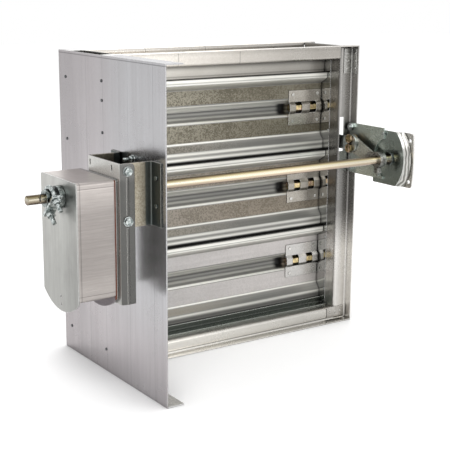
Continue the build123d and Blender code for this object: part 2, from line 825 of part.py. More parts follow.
def actuator_channel():
    """Channel that carries the actuator, with a pressed rib on its front flange."""
    front = shaft_y - channel_front
    rear = shaft_y + channel_rear
    points = [
        (channel_x + channel_flange, rear),
        (channel_x, rear),
        (channel_x, front),
        (channel_x + channel_flange, front),
    ]
    low = shaft_height - channel_below
    high = shaft_height + channel_above
    face = sheet_face(points, channel_sheet, channel_bend)
    body = Pos(0, 0, low) * extrude(face, amount=high - low)
    tips = body.edges().filter_by(Axis.Y).group_by(Axis.X)[-1].group_by(Axis.Z)[-1]
    body = fillet(tips, channel_corner)
    from_low = (Align.CENTER, Align.CENTER, Align.MIN)
    rib_length = high - low - channel_corner
    rib = Pos(mount_bolt_x(), front, low) * Cylinder(rib_radius, rib_length, align=from_low)
    rib &= block((channel_x, channel_x + 30), (front - 5, front), (low, high))
    for rise in mount_bolt_rises:
        rib -= Pos(mount_bolt_x(), front, shaft_height + rise) * Box(20, 20, 2 * rib_bolt_gap)
    body += rib
    for step in (-channel_hole_spacing / 2, channel_hole_spacing / 2):
        slot = SlotOverall(channel_slot_height, channel_slot_width, rotation=90)
        place = Pos(shaft_y + step, shaft_height + channel_hole_rise)
        body -= across(place * slot, channel_x - 1, channel_x + channel_sheet + 1)
    body -= bar_x(shaft_radius + shaft_hole_gap, shaft_y, shaft_height, channel_x - 1, channel_x + 5)
    for y, z in mount_bolt_places():
        body -= Pos(mount_bolt_x(), y, z) * Rot(90, 0, 0) * Cylinder(mount_bolt_radius + press_gap, 12)
    return body


def mount_bolt_x():
    """Distance of the channel's bolts from the sideplate, in the middle of its flanges."""
    return channel_x + channel_flange / 2


def mount_bolt_places():
    """Y and Z of the bolts in the channel's front and rear flanges."""
    places = []
    for y in (shaft_y - channel_front, shaft_y + channel_rear):
        for rise in mount_bolt_rises:
            places.append((y, shaft_height + rise))
    return places


def mount_angle(side):
    """Angle bracket between the sideplate and the channel; side is -1 at the front."""
    if side < 0:
        leg_face = shaft_y - channel_front + channel_sheet
        inner = leg_face + channel_sheet
        points = [
            (sideplate_x, inner - angle_foot),
            (sideplate_x, inner),
            (channel_x + channel_sheet + angle_end_gap, inner),
        ]
    else:
        leg_face = shaft_y + channel_rear - channel_sheet
        inner = leg_face - channel_sheet
        points = [
            (channel_x + channel_sheet + angle_end_gap, inner),
            (sideplate_x, inner),
            (sideplate_x, inner + angle_foot),
        ]
    top = shaft_height + channel_above
    face = sheet_face(points, channel_sheet, channel_bend)
    body = Pos(0, 0, top - angle_height) * extrude(face, amount=angle_height)
    for rise in mount_bolt_rises:
        z = shaft_height + rise
        hole = Cylinder(mount_bolt_radius + press_gap, 12)
        body -= Pos(mount_bolt_x(), leg_face, z) * Rot(90, 0, 0) * hole
    return body


def mount_bolts():
    """Bolts through the channel's flanges and the angle brackets."""
    bolts = []
    for (y, z), side in zip(mount_bolt_places(), (-1, -1, 1, 1)):
        stack = 2 * channel_sheet
        head = Pos(mount_bolt_x(), y, z) * Rot(90, 0, 0)
        outline = extrude(RegularPolygon(mount_bolt_flats / sqrt(3), 6), amount=mount_bolt_head)
        washer = extrude(Circle(mount_bolt_flats / 2 + 1.5), amount=1.0)
        shank = Pos(0, 0, -stack - 5) * extrude(Circle(mount_bolt_radius), amount=stack + 5)
        nut = Pos(0, 0, -stack - 4) * outline
        bolt = washer + Pos(0, 0, 1.0) * outline + shank + nut
        if side > 0:
            bolt = mirror(bolt, about=Plane.XY)
        bolts.append(head * bolt)
    return bolts


def mount_screws():
    """Pan heads that hold the angle brackets to the sideplate."""
    front_y = shaft_y - channel_front + 2 * channel_sheet - angle_foot / 2 - channel_sheet
    rear_y = shaft_y + channel_rear - 2 * channel_sheet + angle_foot / 2 + channel_sheet
    start = sideplate_x - channel_sheet - mount_screw_head
    heads = []
    for y in (front_y, rear_y):
        for rise in mount_screw_rises:
            z = shaft_height + rise
            heads.append(bar_x(mount_screw_radius, y, z, start, start + mount_screw_head))
    return heads


def rounded_plate_face():
    """Outline of the actuator's end plates, with a bowed lower edge."""
    front = shaft_y - case_front
    rear = shaft_y + case_rear
    top = shaft_height + case_above
    corner = shaft_height - case_below - plate_corner_rise
    outline = Curve() + Polyline((rear, corner), (rear, top), (front, top), (front, corner))
    bottom = (shaft_y + (case_rear - case_front) / 2, shaft_height - case_below - plate_drop)
    outline += ThreePointArc((front, corner), bottom, (rear, corner))
    face = make_face(outline)
    tops = face.vertices().group_by(Axis.Y)[-1]
    return fillet(tops, case_corner)


def actuator_plate(x, sheet, hole):
    """One rounded plate of the actuator with the hole for the shaft."""
    body = across(rounded_plate_face(), x, x + sheet)
    return body - bar_x(hole, shaft_y, shaft_height, x - 1, x + sheet + 1)


def actuator_face():
    """Outer plate of the actuator, with two small holes in its lower edge."""
    body = actuator_plate(face_x, face_sheet, shaft_radius + shaft_hole_gap)
    y = shaft_y + (case_rear - case_front) / 2
    z = shaft_height - case_below - plate_drop / 3
    for step in (-face_hole_spacing / 2, face_hole_spacing / 2):
        body -= bar_x(face_hole_radius, y, z + step, face_x - 1, face_x + 5)
    return body


def actuator_case():
    """Closed body of the actuator between its two plates."""
    front = shaft_y - case_front
    rear = shaft_y + case_rear
    low = shaft_height - case_below
    high = shaft_height + case_above
    centre = Pos((front + rear) / 2, (low + high) / 2)
    outer = fillet(Rectangle(rear - front, high - low).vertices(), case_corner)
    inner_width = rear - front - 2 * case_sheet
    inner_height = high - low - 2 * case_sheet
    inner = RectangleRounded(inner_width, inner_height, case_corner - case_sheet)
    body = across(centre * outer, case_x, case_x + case_depth)
    body -= across(centre * inner, case_x + case_sheet, case_x + case_depth + 1)
    hole = shaft_radius + shaft_hole_gap
    return body - bar_x(hole, shaft_y, shaft_height, case_x - 1, case_x + case_depth + 1)


def drive_gear():
    """Toothed wheel on the shaft inside the actuator."""
    x = gasket_x - 12 - gear_width
    tooth = Rectangle(gear_tooth_height + 1.0, gear_root_radius * pi / gear_teeth)
    face = Sketch() + Circle(gear_root_radius)
    tooth_radius = gear_root_radius + gear_tooth_height / 2 - 0.5
    face += [place * tooth for place in PolarLocations(tooth_radius, gear_teeth)]
    body = across(Pos(shaft_y, shaft_height) * face, x, x + gear_width)
    body += bar_x(gear_root_radius / 2, shaft_y, shaft_height, x - 3, x)
    return body - bar_x(shaft_radius + press_gap, shaft_y, shaft_height, x - 4, x + gear_width + 1)


def spring_drum():
    """Round housing of the return spring, on the outer wall of the case."""
    x = case_x + case_sheet
    body = bar_x(spring_drum_radius, shaft_y, shaft_height, x, x + spring_drum_width)
    hollow = spring_drum_radius - spring_drum_wall
    body -= bar_x(hollow, shaft_y, shaft_height, x + spring_drum_wall, x + spring_drum_width + 1)
    hole = shaft_radius + shaft_hole_gap
    return body - bar_x(hole, shaft_y, shaft_height, x - 1, x + spring_drum_width)


def motor():
    """Motor with its gearbox, on the base of the actuator."""
    y = shaft_y + (case_rear - case_front) / 2
    z = shaft_height - motor_below
    x_end = gasket_x
    box_low = z - motor_radius
    body = block(
        (x_end - gearbox_depth, x_end),
        (y - gearbox_width / 2, y + gearbox_width / 2),
        (box_low, shaft_height - gear_root_radius - gear_tooth_height - 2),
    )
    start = x_end - gearbox_depth - motor_length
    body += bar_x(motor_radius, y, z, start, x_end - gearbox_depth)
    return body


def output_hub():
    """Hub and split collar of the actuator, on the shaft."""
    body = bar_x(hub_radius, shaft_y, shaft_height, hub_x, hub_x + hub_length)
    body += bar_x(collar_radius, shaft_y, shaft_height, collar_x, hub_x)
    return body - bar_x(shaft_radius + press_gap, shaft_y, shaft_height, collar_x - 1, face_x)


def clamp_place():
    """Frame of the shaft clamp: its X axis runs along the bolt's legs."""
    along = (0, cos(radians(clamp_angle)), sin(radians(clamp_angle)))
    return Plane(origin=(clamp_x, shaft_y, shaft_height), x_dir=along, z_dir=(1, 0, 0))


def ubolt():
    """Bolt bent round the collar, with two threaded legs."""
    bend = collar_radius + ubolt_radius + 0.1
    path = Curve() + Line((ubolt_reach, bend), (0, bend))
    path += ThreePointArc((0, bend), (-bend, 0), (0, -bend))
    path += Line((0, -bend), (ubolt_reach, -bend))
    section = Plane(origin=(ubolt_reach, bend, 0), z_dir=(-1, 0, 0)) * Circle(ubolt_radius)
    return clamp_place() * sweep(section, path=path.wire())


def clamp_jaw():
    """Plate across the legs of the bolt, pressed against the collar."""
    start = collar_radius + 0.1
    plate = Pos(start + jaw_sheet / 2, 0, 0) * Box(jaw_sheet, jaw_width, jaw_depth)
    bend = collar_radius + ubolt_radius + 0.1
    for side in (-bend, bend):
        plate -= Pos(start, side, 0) * Rot(0, 90, 0) * Cylinder(ubolt_radius + press_gap, 20)
    return clamp_place() * plate


def clamp_nuts():
    """Two nuts on the legs of the bolt."""
    start = collar_radius + 0.1 + jaw_sheet
    bend = collar_radius + ubolt_radius + 0.1
    nuts = []
    for side in (-bend, bend):
        outline = RegularPolygon(clamp_nut_flats / sqrt(3), 6) - Circle(ubolt_radius + press_gap)
        nut = Pos(start, side, 0) * Rot(0, 90, 0) * extrude(outline, amount=clamp_nut_height)
        nuts.append(clamp_place() * nut)
    return nuts


def pointer_clip():
    """Bent wire clip at the free end of the shaft."""
    y = shaft_y - shaft_radius - clip_wire_radius
    z = shaft_height + collar_radius - 3.3
    tip_x = collar_x - clip_reach
    path = FilletPolyline((collar_x, y, z), (tip_x, y, z), (tip_x, y, z - clip_drop), radius=1.5)
    section = Plane(origin=(collar_x, y, z), z_dir=(-1, 0, 0)) * Circle(clip_wire_radius)
    return sweep(section, path=path)


def at_axle(solid, index):
    """Copy of a piece moved to one of the axle lines."""
    return Pos(0, 0, axle_heights[index]) * solid


def group(pieces):
    """Several separate solids kept in one file."""
    return Compound(children=[Part() + piece for piece in pieces])


def make_nodes():
    """Every piece of the damper by name."""
    nodes = {
        "left_jamb": jamb(-1),
        "right_jamb": jamb(1),
        "sill_rail": rail(0, 1),
        "head_rail": rail(frame_height, -1),
        "lower_gussets": group(lower_gussets()),
        "upper_gussets": group(upper_gussets()),
        "head_stop": head_stop(),
        "sill_stop": sill_stop(),
        "sill_seal": sill_seal(),
        "left_jamb_seal": jamb_seal(-1),
        "right_jamb_seal": jamb_seal(1),
        "axle_bushes": group([bush(side, height) for side in (-1, 1) for height in axle_heights]),
        "sideplate": sideplate(),
        "sideplate_rivets": group(side_rivets()),
        "front_mount_angle": mount_angle(-1),
        "rear_mount_angle": mount_angle(1),
        "mount_screws": group(mount_screws()),
        "actuator_channel": actuator_channel(),
        "channel_bolts": group(mount_bolts()),
        "actuator_base": actuator_plate(base_x, base_sheet, shaft_radius + shaft_hole_gap),
        "actuator_gasket": actuator_plate(gasket_x, gasket_sheet, shaft_radius + shaft_hole_gap),
        "actuator_case": actuator_case(),
        "actuator_face": actuator_face(),
        "motor": motor(),
        "spring_drum": spring_drum(),
        "drive_gear": drive_gear(),
        "output_hub": output_hub(),
        "clamp_bolt": ubolt(),
        "clamp_jaw": clamp_jaw(),
        "clamp_nuts": group(clamp_nuts()),
        "pointer_clip": pointer_clip(),
        "jackshaft": jackshaft(),
        "sideplate_bearing": shaft_bearing(sideplate_x, 1),
        "bracket_bearing": shaft_bearing(bearing_x, 1),
        "bracket_arm": bracket_arm(),
        "bearing_plate": bearing_plate(),
        "bracket_fasteners": group(bracket_fasteners()),
        "shaft_crank": shaft_crank(),
        "crank_set_screw": set_screw(),
        "drive_link": drive_link(),
        "link_bolts": group(link_bolts()),
        "tie_bar": tie_bar(),
    }
    one_blade = blade()
    seal = blade_seal()
    axles = group([stub_axle(-1), stub_axle(1)])
    plates = group([axle_plate(-1), axle_plate(1)])
    rivets = group(plate_rivets(-1) + plate_rivets(1))
    crank = blade_crank()
    for index in range(blade_count):
        number = index + 1
        nodes[f"blade_{number}"] = at_axle(one_blade, index)
        nodes[f"blade_{number}_seal"] = at_axle(seal, index)
        nodes[f"blade_{number}_axles"] = at_axle(axles, index)
        nodes[f"blade_{number}_axle_plates"] = at_axle(plates, index)
        nodes[f"blade_{number}_rivets"] = at_axle(rivets, index)
        nodes[f"blade_{number}_crank"] = at_axle(crank, index)
    return nodes


def main():
    """Write one file for each piece."""
    os.makedirs("parts", exist_ok=True)
    for name, solid in make_nodes().items():
        export_step(solid, f"parts/{name}.step")


main()
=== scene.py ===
"""Smoke damper with three blades: finishes, small fittings, floor, light and camera."""

import math

import bmesh
import bpy
from mathutils import Matrix, Vector


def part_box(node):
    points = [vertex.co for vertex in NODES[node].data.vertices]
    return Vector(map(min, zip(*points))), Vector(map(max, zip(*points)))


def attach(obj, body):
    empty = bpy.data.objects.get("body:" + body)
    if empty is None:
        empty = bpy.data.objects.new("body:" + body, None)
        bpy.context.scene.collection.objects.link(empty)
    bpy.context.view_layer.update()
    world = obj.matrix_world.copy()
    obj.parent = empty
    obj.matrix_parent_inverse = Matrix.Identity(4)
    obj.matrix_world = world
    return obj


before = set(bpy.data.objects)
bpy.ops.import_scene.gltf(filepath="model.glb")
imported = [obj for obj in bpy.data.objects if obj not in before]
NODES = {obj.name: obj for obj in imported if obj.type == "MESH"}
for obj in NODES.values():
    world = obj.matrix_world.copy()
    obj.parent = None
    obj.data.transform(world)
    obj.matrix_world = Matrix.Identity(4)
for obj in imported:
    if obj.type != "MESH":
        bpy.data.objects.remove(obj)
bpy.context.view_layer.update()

bl_info = {
    "name": "Smoke damper",
    "version": (1, 0, 0),
    "blender": (4, 5, 0),
    "location": "View3D > Sidebar > Damper",
    "description": "Finishes the pieces of a smoke damper and sets its stage",
    "category": "Object",
}

SETTINGS = ("sheet_finish", "fitting_finish", "actuator_finish", "stage_look")

# How a streak is stretched: small along its length, 1 across it
ALONG_X = (0.03, 1.0, 1.0)
ALONG_Z = (1.0, 1.0, 0.04)
EVEN = (1.0, 1.0, 1.0)

# Cross shaft: a point of its axis, and its radius
SHAFT_AXIS = (0.0, -0.1435, 0.286)
SHAFT_RADIUS = 0.00635

# Rounded step of the bearing plate, which gets painted highlights and reflections: its centre, and radii of
# its edge, its slope and its rim
STEP_CENTRE = (0.0, -0.1185, 0.286)
STEP_EDGE = (0.0584, 0.0594)
STEP_SLOPE = (0.0596, 0.0690)
STEP_RIM = (0.0688, 0.0696)

# Places of folds and seams across the sheets; the sideplate's folds get painted shade lines
SIDEPLATE_FOLDS = (-0.0088, -0.0586, -0.1295, -0.196)
HEAD_SEAMS = (-0.1008, 0.0074)
# Spans of the blades where the groove's ends get a painted shadow at the axle plates
GROOVE_ENDS = ((0.117, 0.1345), (-0.1345, -0.117))
SILL_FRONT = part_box("sill_rail")[0][1]


def colour(name, description, value):
    """Colour property with its default."""
    return bpy.props.FloatVectorProperty(
        name=name, description=description, subtype="COLOR", size=3, min=0, max=1, default=value
    )


def length(name, description, value):
    """Length property in metres."""
    return bpy.props.FloatProperty(name=name, description=description, unit="LENGTH", default=value)


def amount(name, description, value):
    """Plain number with its default."""
    return bpy.props.FloatProperty(name=name, description=description, default=value)


class SheetFinish(bpy.types.PropertyGroup):
    """Colours and grain of the galvanised and stainless sheet."""

    side_light: colour("Sideplate, light", "Light streaks of the sideplate", (0.515, 0.515, 0.532))
    side_dark: colour("Sideplate, dark", "Dark streaks of the sideplate", (0.375, 0.366, 0.374))
    frame_light: colour("Frame, light", "Light crystals of the frame", (0.80, 0.785, 0.755))
    frame_dark: colour("Frame, dark", "Dark crystals of the frame", (0.52, 0.50, 0.47))
    rail_light: colour("Rail, light", "Light crystals of the head rail", (0.80, 0.765, 0.715))
    rail_dark: colour("Rail, dark", "Dark crystals of the head rail", (0.54, 0.505, 0.455))
    blade_speck: colour("Blade specks", "Dark specks of the blades", (0.085, 0.072, 0.045))
    plate_light: colour("Axle plate, light", "Light crystals of the axle plates", (0.52, 0.495, 0.45))
    plate_dark: colour("Axle plate, dark", "Dark crystals of the axle plates", (0.25, 0.225, 0.19))
    bracket_light: colour("Bracket, light", "Light crystals of the right bracket", (0.70, 0.75, 0.70))
    bracket_dark: colour("Bracket, dark", "Dark crystals of the right bracket", (0.46, 0.52, 0.475))
    channel_light: colour("Channel, light", "Light crystals of the actuator channel", (0.46, 0.455, 0.44))
    channel_dark: colour("Channel, dark", "Dark crystals of the actuator channel", (0.33, 0.33, 0.31))
    angle_light: colour("Angle, light", "Light crystals of the mount angles", (0.62, 0.57, 0.46))
    angle_dark: colour("Angle, dark", "Dark crystals of the mount angles", (0.16, 0.135, 0.095))
    stainless: colour("Stainless", "Spring seals of the jambs", (0.50, 0.50, 0.48))
    crystal_size: length("Crystal size", "Width of a zinc crystal", 0.0016)
    streak_width: length("Streak width", "Width of a rolling streak", 0.006)
    # The bright edge is partly real wear and partly a painted highlight
    edge_width: length("Edge width", "Width of the bright worn edge", 0.0011)


class FittingFinish(bpy.types.PropertyGroup):
    """Colours of the shaft, fasteners, seals and bearings."""

    # The shaft's light and dark colours are a painted highlight and painted shade across its height
    shaft_highlight: colour("Shaft, light", "Light part of the yellow zinc on the shaft", (0.98, 0.90, 0.72))
    shaft_shade: colour("Shaft, dark", "Dark part of the yellow zinc on the shaft", (0.30, 0.225, 0.125))
    hex_gold: colour("Axle, gold", "Yellow zinc on the axles", (0.84, 0.68, 0.36))
    hex_rose: colour("Axle, rose", "Pink shimmer of the yellow zinc", (0.68, 0.48, 0.36))
    bolt_gold: colour("Bolt, gold", "Dark gold of the link bolts", (0.36, 0.27, 0.13))
    zinc: colour("Bright zinc", "Bright zinc of fasteners", (0.66, 0.70, 0.69))
    zinc_dark: colour("Bright zinc, dark", "Shaded zinc of fasteners", (0.17, 0.20, 0.195))
    bush: colour("Bush", "Dark steel bushes of the axles", (0.16, 0.155, 0.14))
    bearing: colour("Bearing", "Rims of the shaft's bearings", (0.38, 0.41, 0.40))
    silicone: colour("Silicone", "Seals of blades and sill", (0.045, 0.045, 0.04))
    wire: colour("Wire", "Black clip on the shaft", (0.008, 0.008, 0.008))


class ActuatorFinish(bpy.types.PropertyGroup):
    """Colours of the actuator."""

    face_light: colour("Face, light", "Light part of the outer plate", (0.48, 0.485, 0.46))
    face_dark: colour("Face, dark", "Dark part of the outer plate", (0.36, 0.355, 0.34))
    case_light: colour("Case, light", "Light brushing of the case", (0.40, 0.37, 0.352))
    case_dark: colour("Case, dark", "Dark brushing of the case", (0.26, 0.238, 0.225))
    gasket_light: colour("Gasket, light", "Light fibres of the gasket", (0.24, 0.075, 0.04))
    gasket_dark: colour("Gasket, dark", "Dark fibres of the gasket", (0.07, 0.022, 0.014))
    brush_width: length("Brush width", "Width of a brushed line on the case", 0.0007)


class StageLook(bpy.types.PropertyGroup):
    """Camera, floor and light."""

    camera_place: bpy.props.FloatVectorProperty(
        name="Camera place", description="Place of the camera", unit="LENGTH",
        default=(-0.92744, -1.39332, 0.56467),
    )
    camera_turn: bpy.props.FloatProperty(
        name="Turn", description="Heading from +Y towards +X", subtype="ANGLE",
        default=math.radians(34.0694),
    )
    camera_dip: bpy.props.FloatProperty(
        name="Dip", description="Angle below the horizon", subtype="ANGLE", default=math.radians(12.967)
    )
    camera_roll: bpy.props.FloatProperty(
        name="Roll", description="Roll of the camera", subtype="ANGLE", default=math.radians(0.3831)
    )
    lens: amount("Lens", "Focal length in millimetres on a 36 mm sensor", 86.728)
    floor_size: length("Floor size", "Width of the floor", 14.0)
    floor_white: amount("Floor white", "White that the floor shows by itself to the camera", 0.33)
    shadow_reach: length("Shadow reach", "Width of the soft shadow round the feet", 0.11)
    world_light: amount("World light", "Strength of the even light", 0.72)
    key_power: amount("Key power", "Power of the large lamp in watts", 22.0)
    fill_power: amount("Fill power", "Power of the low front lamp in watts", 6.0)
    back_power: amount("Back power", "Power of the lamp behind in watts", 12.0)


GROUPS = (SheetFinish, FittingFinish, ActuatorFinish, StageLook)


def group_tree(name, inputs, outputs):
    """Empty shader node group with named sockets."""
    tree = bpy.data.node_groups.new(name, "ShaderNodeTree")
    for label, kind, value in inputs:
        socket = tree.interface.new_socket(name=label, in_out="INPUT", socket_type=kind)
        if value is not None:
            socket.default_value = value
    for label, kind in outputs:
        tree.interface.new_socket(name=label, in_out="OUTPUT", socket_type=kind)
    start = tree.nodes.new("NodeGroupInput")
    end = tree.nodes.new("NodeGroupOutput")
    return tree, start, end


def math_node(tree, operation, first, second=None, third=None):
    """Math node fed by sockets or numbers; returns its output."""
    node = tree.nodes.new("ShaderNodeMath")
    node.operation = operation
    for index, value in enumerate((first, second, third)):
        if value is None:
            continue
        if isinstance(value, (int, float)):
            node.inputs[index].default_value = value
        else:
            tree.links.new(value, node.inputs[index])
    return node.outputs[0]


def scaled_sum(tree, value, factor, plus):
    """Value times a factor, plus an amount."""
    return math_node(tree, "MULTIPLY_ADD", value, factor, plus)


def vector_node(tree, operation, first, second):
    """Vector Math node of two vectors."""
    node = tree.nodes.new("ShaderNodeVectorMath")
    node.operation = operation
    for socket, value in zip(node.inputs, (first, second)):
        if isinstance(value, bpy.types.NodeSocket):
            tree.links.new(value, socket)
        else:
            socket.default_value = value
    return node


def clamped(tree, value):
    """Value kept between 0 and 1."""
    node = tree.nodes.new("ShaderNodeClamp")
    tree.links.new(value, node.inputs["Value"])
    return node.outputs["Result"]


def mix_colour(tree, factor, first, second):
    """Colour mix node; returns its output."""
    node = tree.nodes.new("ShaderNodeMix")
    node.data_type = "RGBA"
    sockets = (node.inputs[0], node.inputs[6], node.inputs[7])
    for socket, value in zip(sockets, (factor, first, second)):
        if isinstance(value, (int, float)):
            socket.default_value = value
        elif isinstance(value, bpy.types.NodeSocket):
            tree.links.new(value, socket)
        else:
            socket.default_value = (*value, 1.0)
    return node.outputs[2]


def ramp_value(tree, value, low, high, out_low=0.0, out_high=1.0):
    """Smooth map of a value to another range."""
    node = tree.nodes.new("ShaderNodeMapRange")
    node.interpolation_type = "SMOOTHSTEP"
    tree.links.new(value, node.inputs["Value"])
    node.inputs["From Min"].default_value = low
    node.inputs["From Max"].default_value = high
    node.inputs["To Min"].default_value = out_low
    node.inputs["To Max"].default_value = out_high
    return node.outputs["Result"]


def noise(tree, vector, scale, detail=3.0, roughness=0.5):
    """Noise texture; scale is a number or a socket."""
    node = tree.nodes.new("ShaderNodeTexNoise")
    tree.links.new(vector, node.inputs["Vector"])
    if isinstance(scale, (int, float)):
        node.inputs["Scale"].default_value = scale
    else:
        tree.links.new(scale, node.inputs["Scale"])
    node.inputs["Detail"].default_value = detail
    node.inputs["Roughness"].default_value = roughness
    return node.outputs["Fac"]


def build_crystal_group():
    """Fine zinc crystals: a mask of light and dark grains."""
    tree, start, end = group_tree(
        "Zinc crystals",
        [("Vector", "NodeSocketVector", None), ("Size", "NodeSocketFloat", 0.0016)],
        [("Mask", "NodeSocketFloat"), ("Height", "NodeSocketFloat")],
    )
    scale = math_node(tree, "DIVIDE", 1.0, start.outputs["Size"])
    cells = tree.nodes.new("ShaderNodeTexVoronoi")
    cells.feature = "F1"
    tree.links.new(start.outputs["Vector"], cells.inputs["Vector"])
    tree.links.new(scale, cells.inputs["Scale"])
    split = tree.nodes.new("ShaderNodeSeparateColor")
    tree.links.new(cells.outputs["Color"], split.inputs["Color"])
    fine = noise(tree, start.outputs["Vector"], product(tree, scale, 1.4), 2.0, 0.6)
    cloud = noise(tree, start.outputs["Vector"], product(tree, scale, 0.03), 3.0, 0.55)
    grain = scaled_sum(tree, split.outputs["Red"], 0.45, product(tree, fine, 0.55))
    mask = scaled_sum(tree, cloud, 0.7, scaled_sum(tree, grain, 0.9, -0.3))
    tree.links.new(clamped(tree, mask), end.inputs["Mask"])
    tree.links.new(fine, end.inputs["Height"])
    return tree


def build_streak_group():
    """Long streaks along one axis, from rolling or brushing."""
    tree, start, end = group_tree(
        "Long streaks",
        [
            ("Vector", "NodeSocketVector", None),
            ("Width", "NodeSocketFloat", 0.006),
            ("Stretch", "NodeSocketVector", (1.0, 1.0, 1.0)),
        ],
        [("Mask", "NodeSocketFloat"), ("Height", "NodeSocketFloat")],
    )
    scaled = vector_node(tree, "MULTIPLY", start.outputs["Vector"], start.outputs["Stretch"])
    scale = math_node(tree, "DIVIDE", 1.0, start.outputs["Width"])
    coarse = noise(tree, scaled.outputs["Vector"], product(tree, scale, 0.25), 3.0, 0.6)
    fine = noise(tree, scaled.outputs["Vector"], scale, 2.0, 0.65)
    mask = scaled_sum(tree, coarse, 0.9, scaled_sum(tree, fine, 0.6, -0.25))
    tree.links.new(clamped(tree, mask), end.inputs["Mask"])
    tree.links.new(fine, end.inputs["Height"])
    return tree


def build_edge_group():
    """Mask of the sheet's cut edges and bends, which show wear and a painted highlight."""
    tree, start, end = group_tree(
        "Edge wear and highlight",
        [("Width", "NodeSocketFloat", 0.0009)],
        [("Mask", "NodeSocketFloat"), ("Normal", "NodeSocketVector")],
    )
    bevel = tree.nodes.new("ShaderNodeBevel")
    bevel.samples = 4
    tree.links.new(start.outputs["Width"], bevel.inputs["Radius"])
    geometry = tree.nodes.new("ShaderNodeNewGeometry")
    dot = vector_node(tree, "DOT_PRODUCT", bevel.outputs["Normal"], geometry.outputs["Normal"])
    mask = ramp_value(tree, dot.outputs["Value"], 0.995, 0.80)
    tree.links.new(mask, end.inputs["Mask"])
    tree.links.new(bevel.outputs["Normal"], end.inputs["Normal"])
    return tree


def build_grime_group():
    """Faint handling marks: soft dull patches and thin scratches."""
    tree, start, end = group_tree(
        "Handling marks",
        [("Vector", "NodeSocketVector", None), ("Size", "NodeSocketFloat", 0.05)],
        [("Patches", "NodeSocketFloat"), ("Scratches", "NodeSocketFloat")],
    )
    scale = math_node(tree, "DIVIDE", 1.0, start.outputs["Size"])
    patches = noise(tree, start.outputs["Vector"], scale, 4.0, 0.6)
    tree.links.new(ramp_value(tree, patches, 0.42, 0.68), end.inputs["Patches"])
    stretched = tree.nodes.new("ShaderNodeMapping")
    stretched.inputs["Rotation"].default_value = (0.5, 0.9, 0.3)
    stretched.inputs["Scale"].default_value = (14.0, 1.0, 1.0)
    tree.links.new(start.outputs["Vector"], stretched.inputs["Vector"])
    lines = noise(tree, stretched.outputs["Vector"], product(tree, scale, 5.0), 2.0, 0.5)
    tree.links.new(ramp_value(tree, lines, 0.68, 0.76), end.inputs["Scratches"])
    return tree


def build_crevice_group():
    """Mask that is 1 on open surfaces and 0 in gaps and deep corners, where painted shade goes."""
    tree, start, end = group_tree(
        "Painted crevice shade",
        [("Distance", "NodeSocketFloat", 0.016)],
        [("Open", "NodeSocketFloat")],
    )
    near = tree.nodes.new("ShaderNodeAmbientOcclusion")
    near.samples = 8
    tree.links.new(start.outputs["Distance"], near.inputs["Distance"])
    tree.links.new(ramp_value(tree, near.outputs["AO"], 0.20, 0.80), end.inputs["Open"])
    return tree


# Lowest and highest height of a blade over its axle, in millimetres
BLADE_LOW = -76.0
BLADE_HIGH = 56.0

# Painted light and shade of a blade, its bright bends and dark gaps: height over its axle in millimetres
# and value, upwards
BLADE_PAINTED_LIGHT = (
    (-76.0, 0.01), (-69.2, 0.01), (-68.6, 0.30), (-66.6, 0.85), (-65.4, 0.80), (-62.5, 0.24), (-60.5, 0.34),
    (-58.4, 0.80), (-56.6, 0.72), (-55.0, 0.20), (-46.6, 0.28), (-45.0, 0.38), (-44.0, 0.98), (-42.6, 0.90),
    (-41.6, 0.30), (-14.0, 0.30), (-13.2, 0.98), (-11.6, 0.95), (-10.6, 0.22), (-8.4, 0.18), (-6.0, 0.50),
    (-3.6, 0.10), (0.0, 0.26), (3.4, 0.06), (6.2, 0.85), (11.0, 0.55), (12.8, 0.98), (14.0, 0.26),
    (38.4, 0.40), (44.6, 0.75), (48.4, 1.00), (56.0, 0.86),
)


def colour_bands(tree, value, bands):
    """Colour ramp with stops given as positions and colours; returns its colour."""
    ramp = tree.nodes.new("ShaderNodeValToRGB")
    tree.links.new(value, ramp.inputs["Fac"])
    stops = ramp.color_ramp.elements
    for index, (position, tone) in enumerate(bands):
        stop = stops[index] if index < 2 else stops.new(position)
        stop.position = position
        stop.color = (*tone, 1.0)
    return ramp.outputs["Color"]


def build_band_group():
    """Bands of a bent blade by height over its axle: painted light and shade of the bends, and a mask of
    the flats.
    """
    tree, start, end = group_tree(
        "Blade bands",
        [("Height", "NodeSocketFloat", 0.0)],
        [("Painted light", "NodeSocketFloat"), ("Flat", "NodeSocketFloat")],
    )
    reach = BLADE_HIGH - BLADE_LOW
    share = math_node(tree, "SUBTRACT", start.outputs["Height"], BLADE_LOW / 1000)
    share = math_node(tree, "DIVIDE", share, reach / 1000)
    bands = [((height - BLADE_LOW) / reach, (value,) * 3) for height, value in BLADE_PAINTED_LIGHT]
    # A dark line at the fold and a darker crest: painted shade
    fold = thin_line(tree, start.outputs["Height"], 0.0502, 0.0016, 0.45)
    crest = ramp_value(tree, start.outputs["Height"], 0.0545, 0.0556, 1.0, 0.30)
    painted_light = tree.nodes.new("ShaderNodeSeparateColor")
    tree.links.new(colour_bands(tree, share, bands), painted_light.inputs["Color"])
    tree.links.new(product(tree, painted_light.outputs["Red"], fold, crest), end.inputs["Painted light"])
    upper = span(tree, start.outputs["Height"], 0.0155, 0.0375, 0.0006)
    lower = span(tree, start.outputs["Height"], -0.0415, -0.0150, 0.0006)
    tree.links.new(math_node(tree, "ADD", upper, lower), end.inputs["Flat"])
    return tree


def place_group(tree, name, **values):
    """Node that holds one of the shared groups, with its own values."""
    node = tree.nodes.new("ShaderNodeGroup")
    node.node_tree = bpy.data.node_groups[name]
    for label, value in values.items():
        socket = node.inputs[label]
        if isinstance(value, bpy.types.NodeSocket):
            tree.links.new(value, socket)
        else:
            socket.default_value = value
    return node


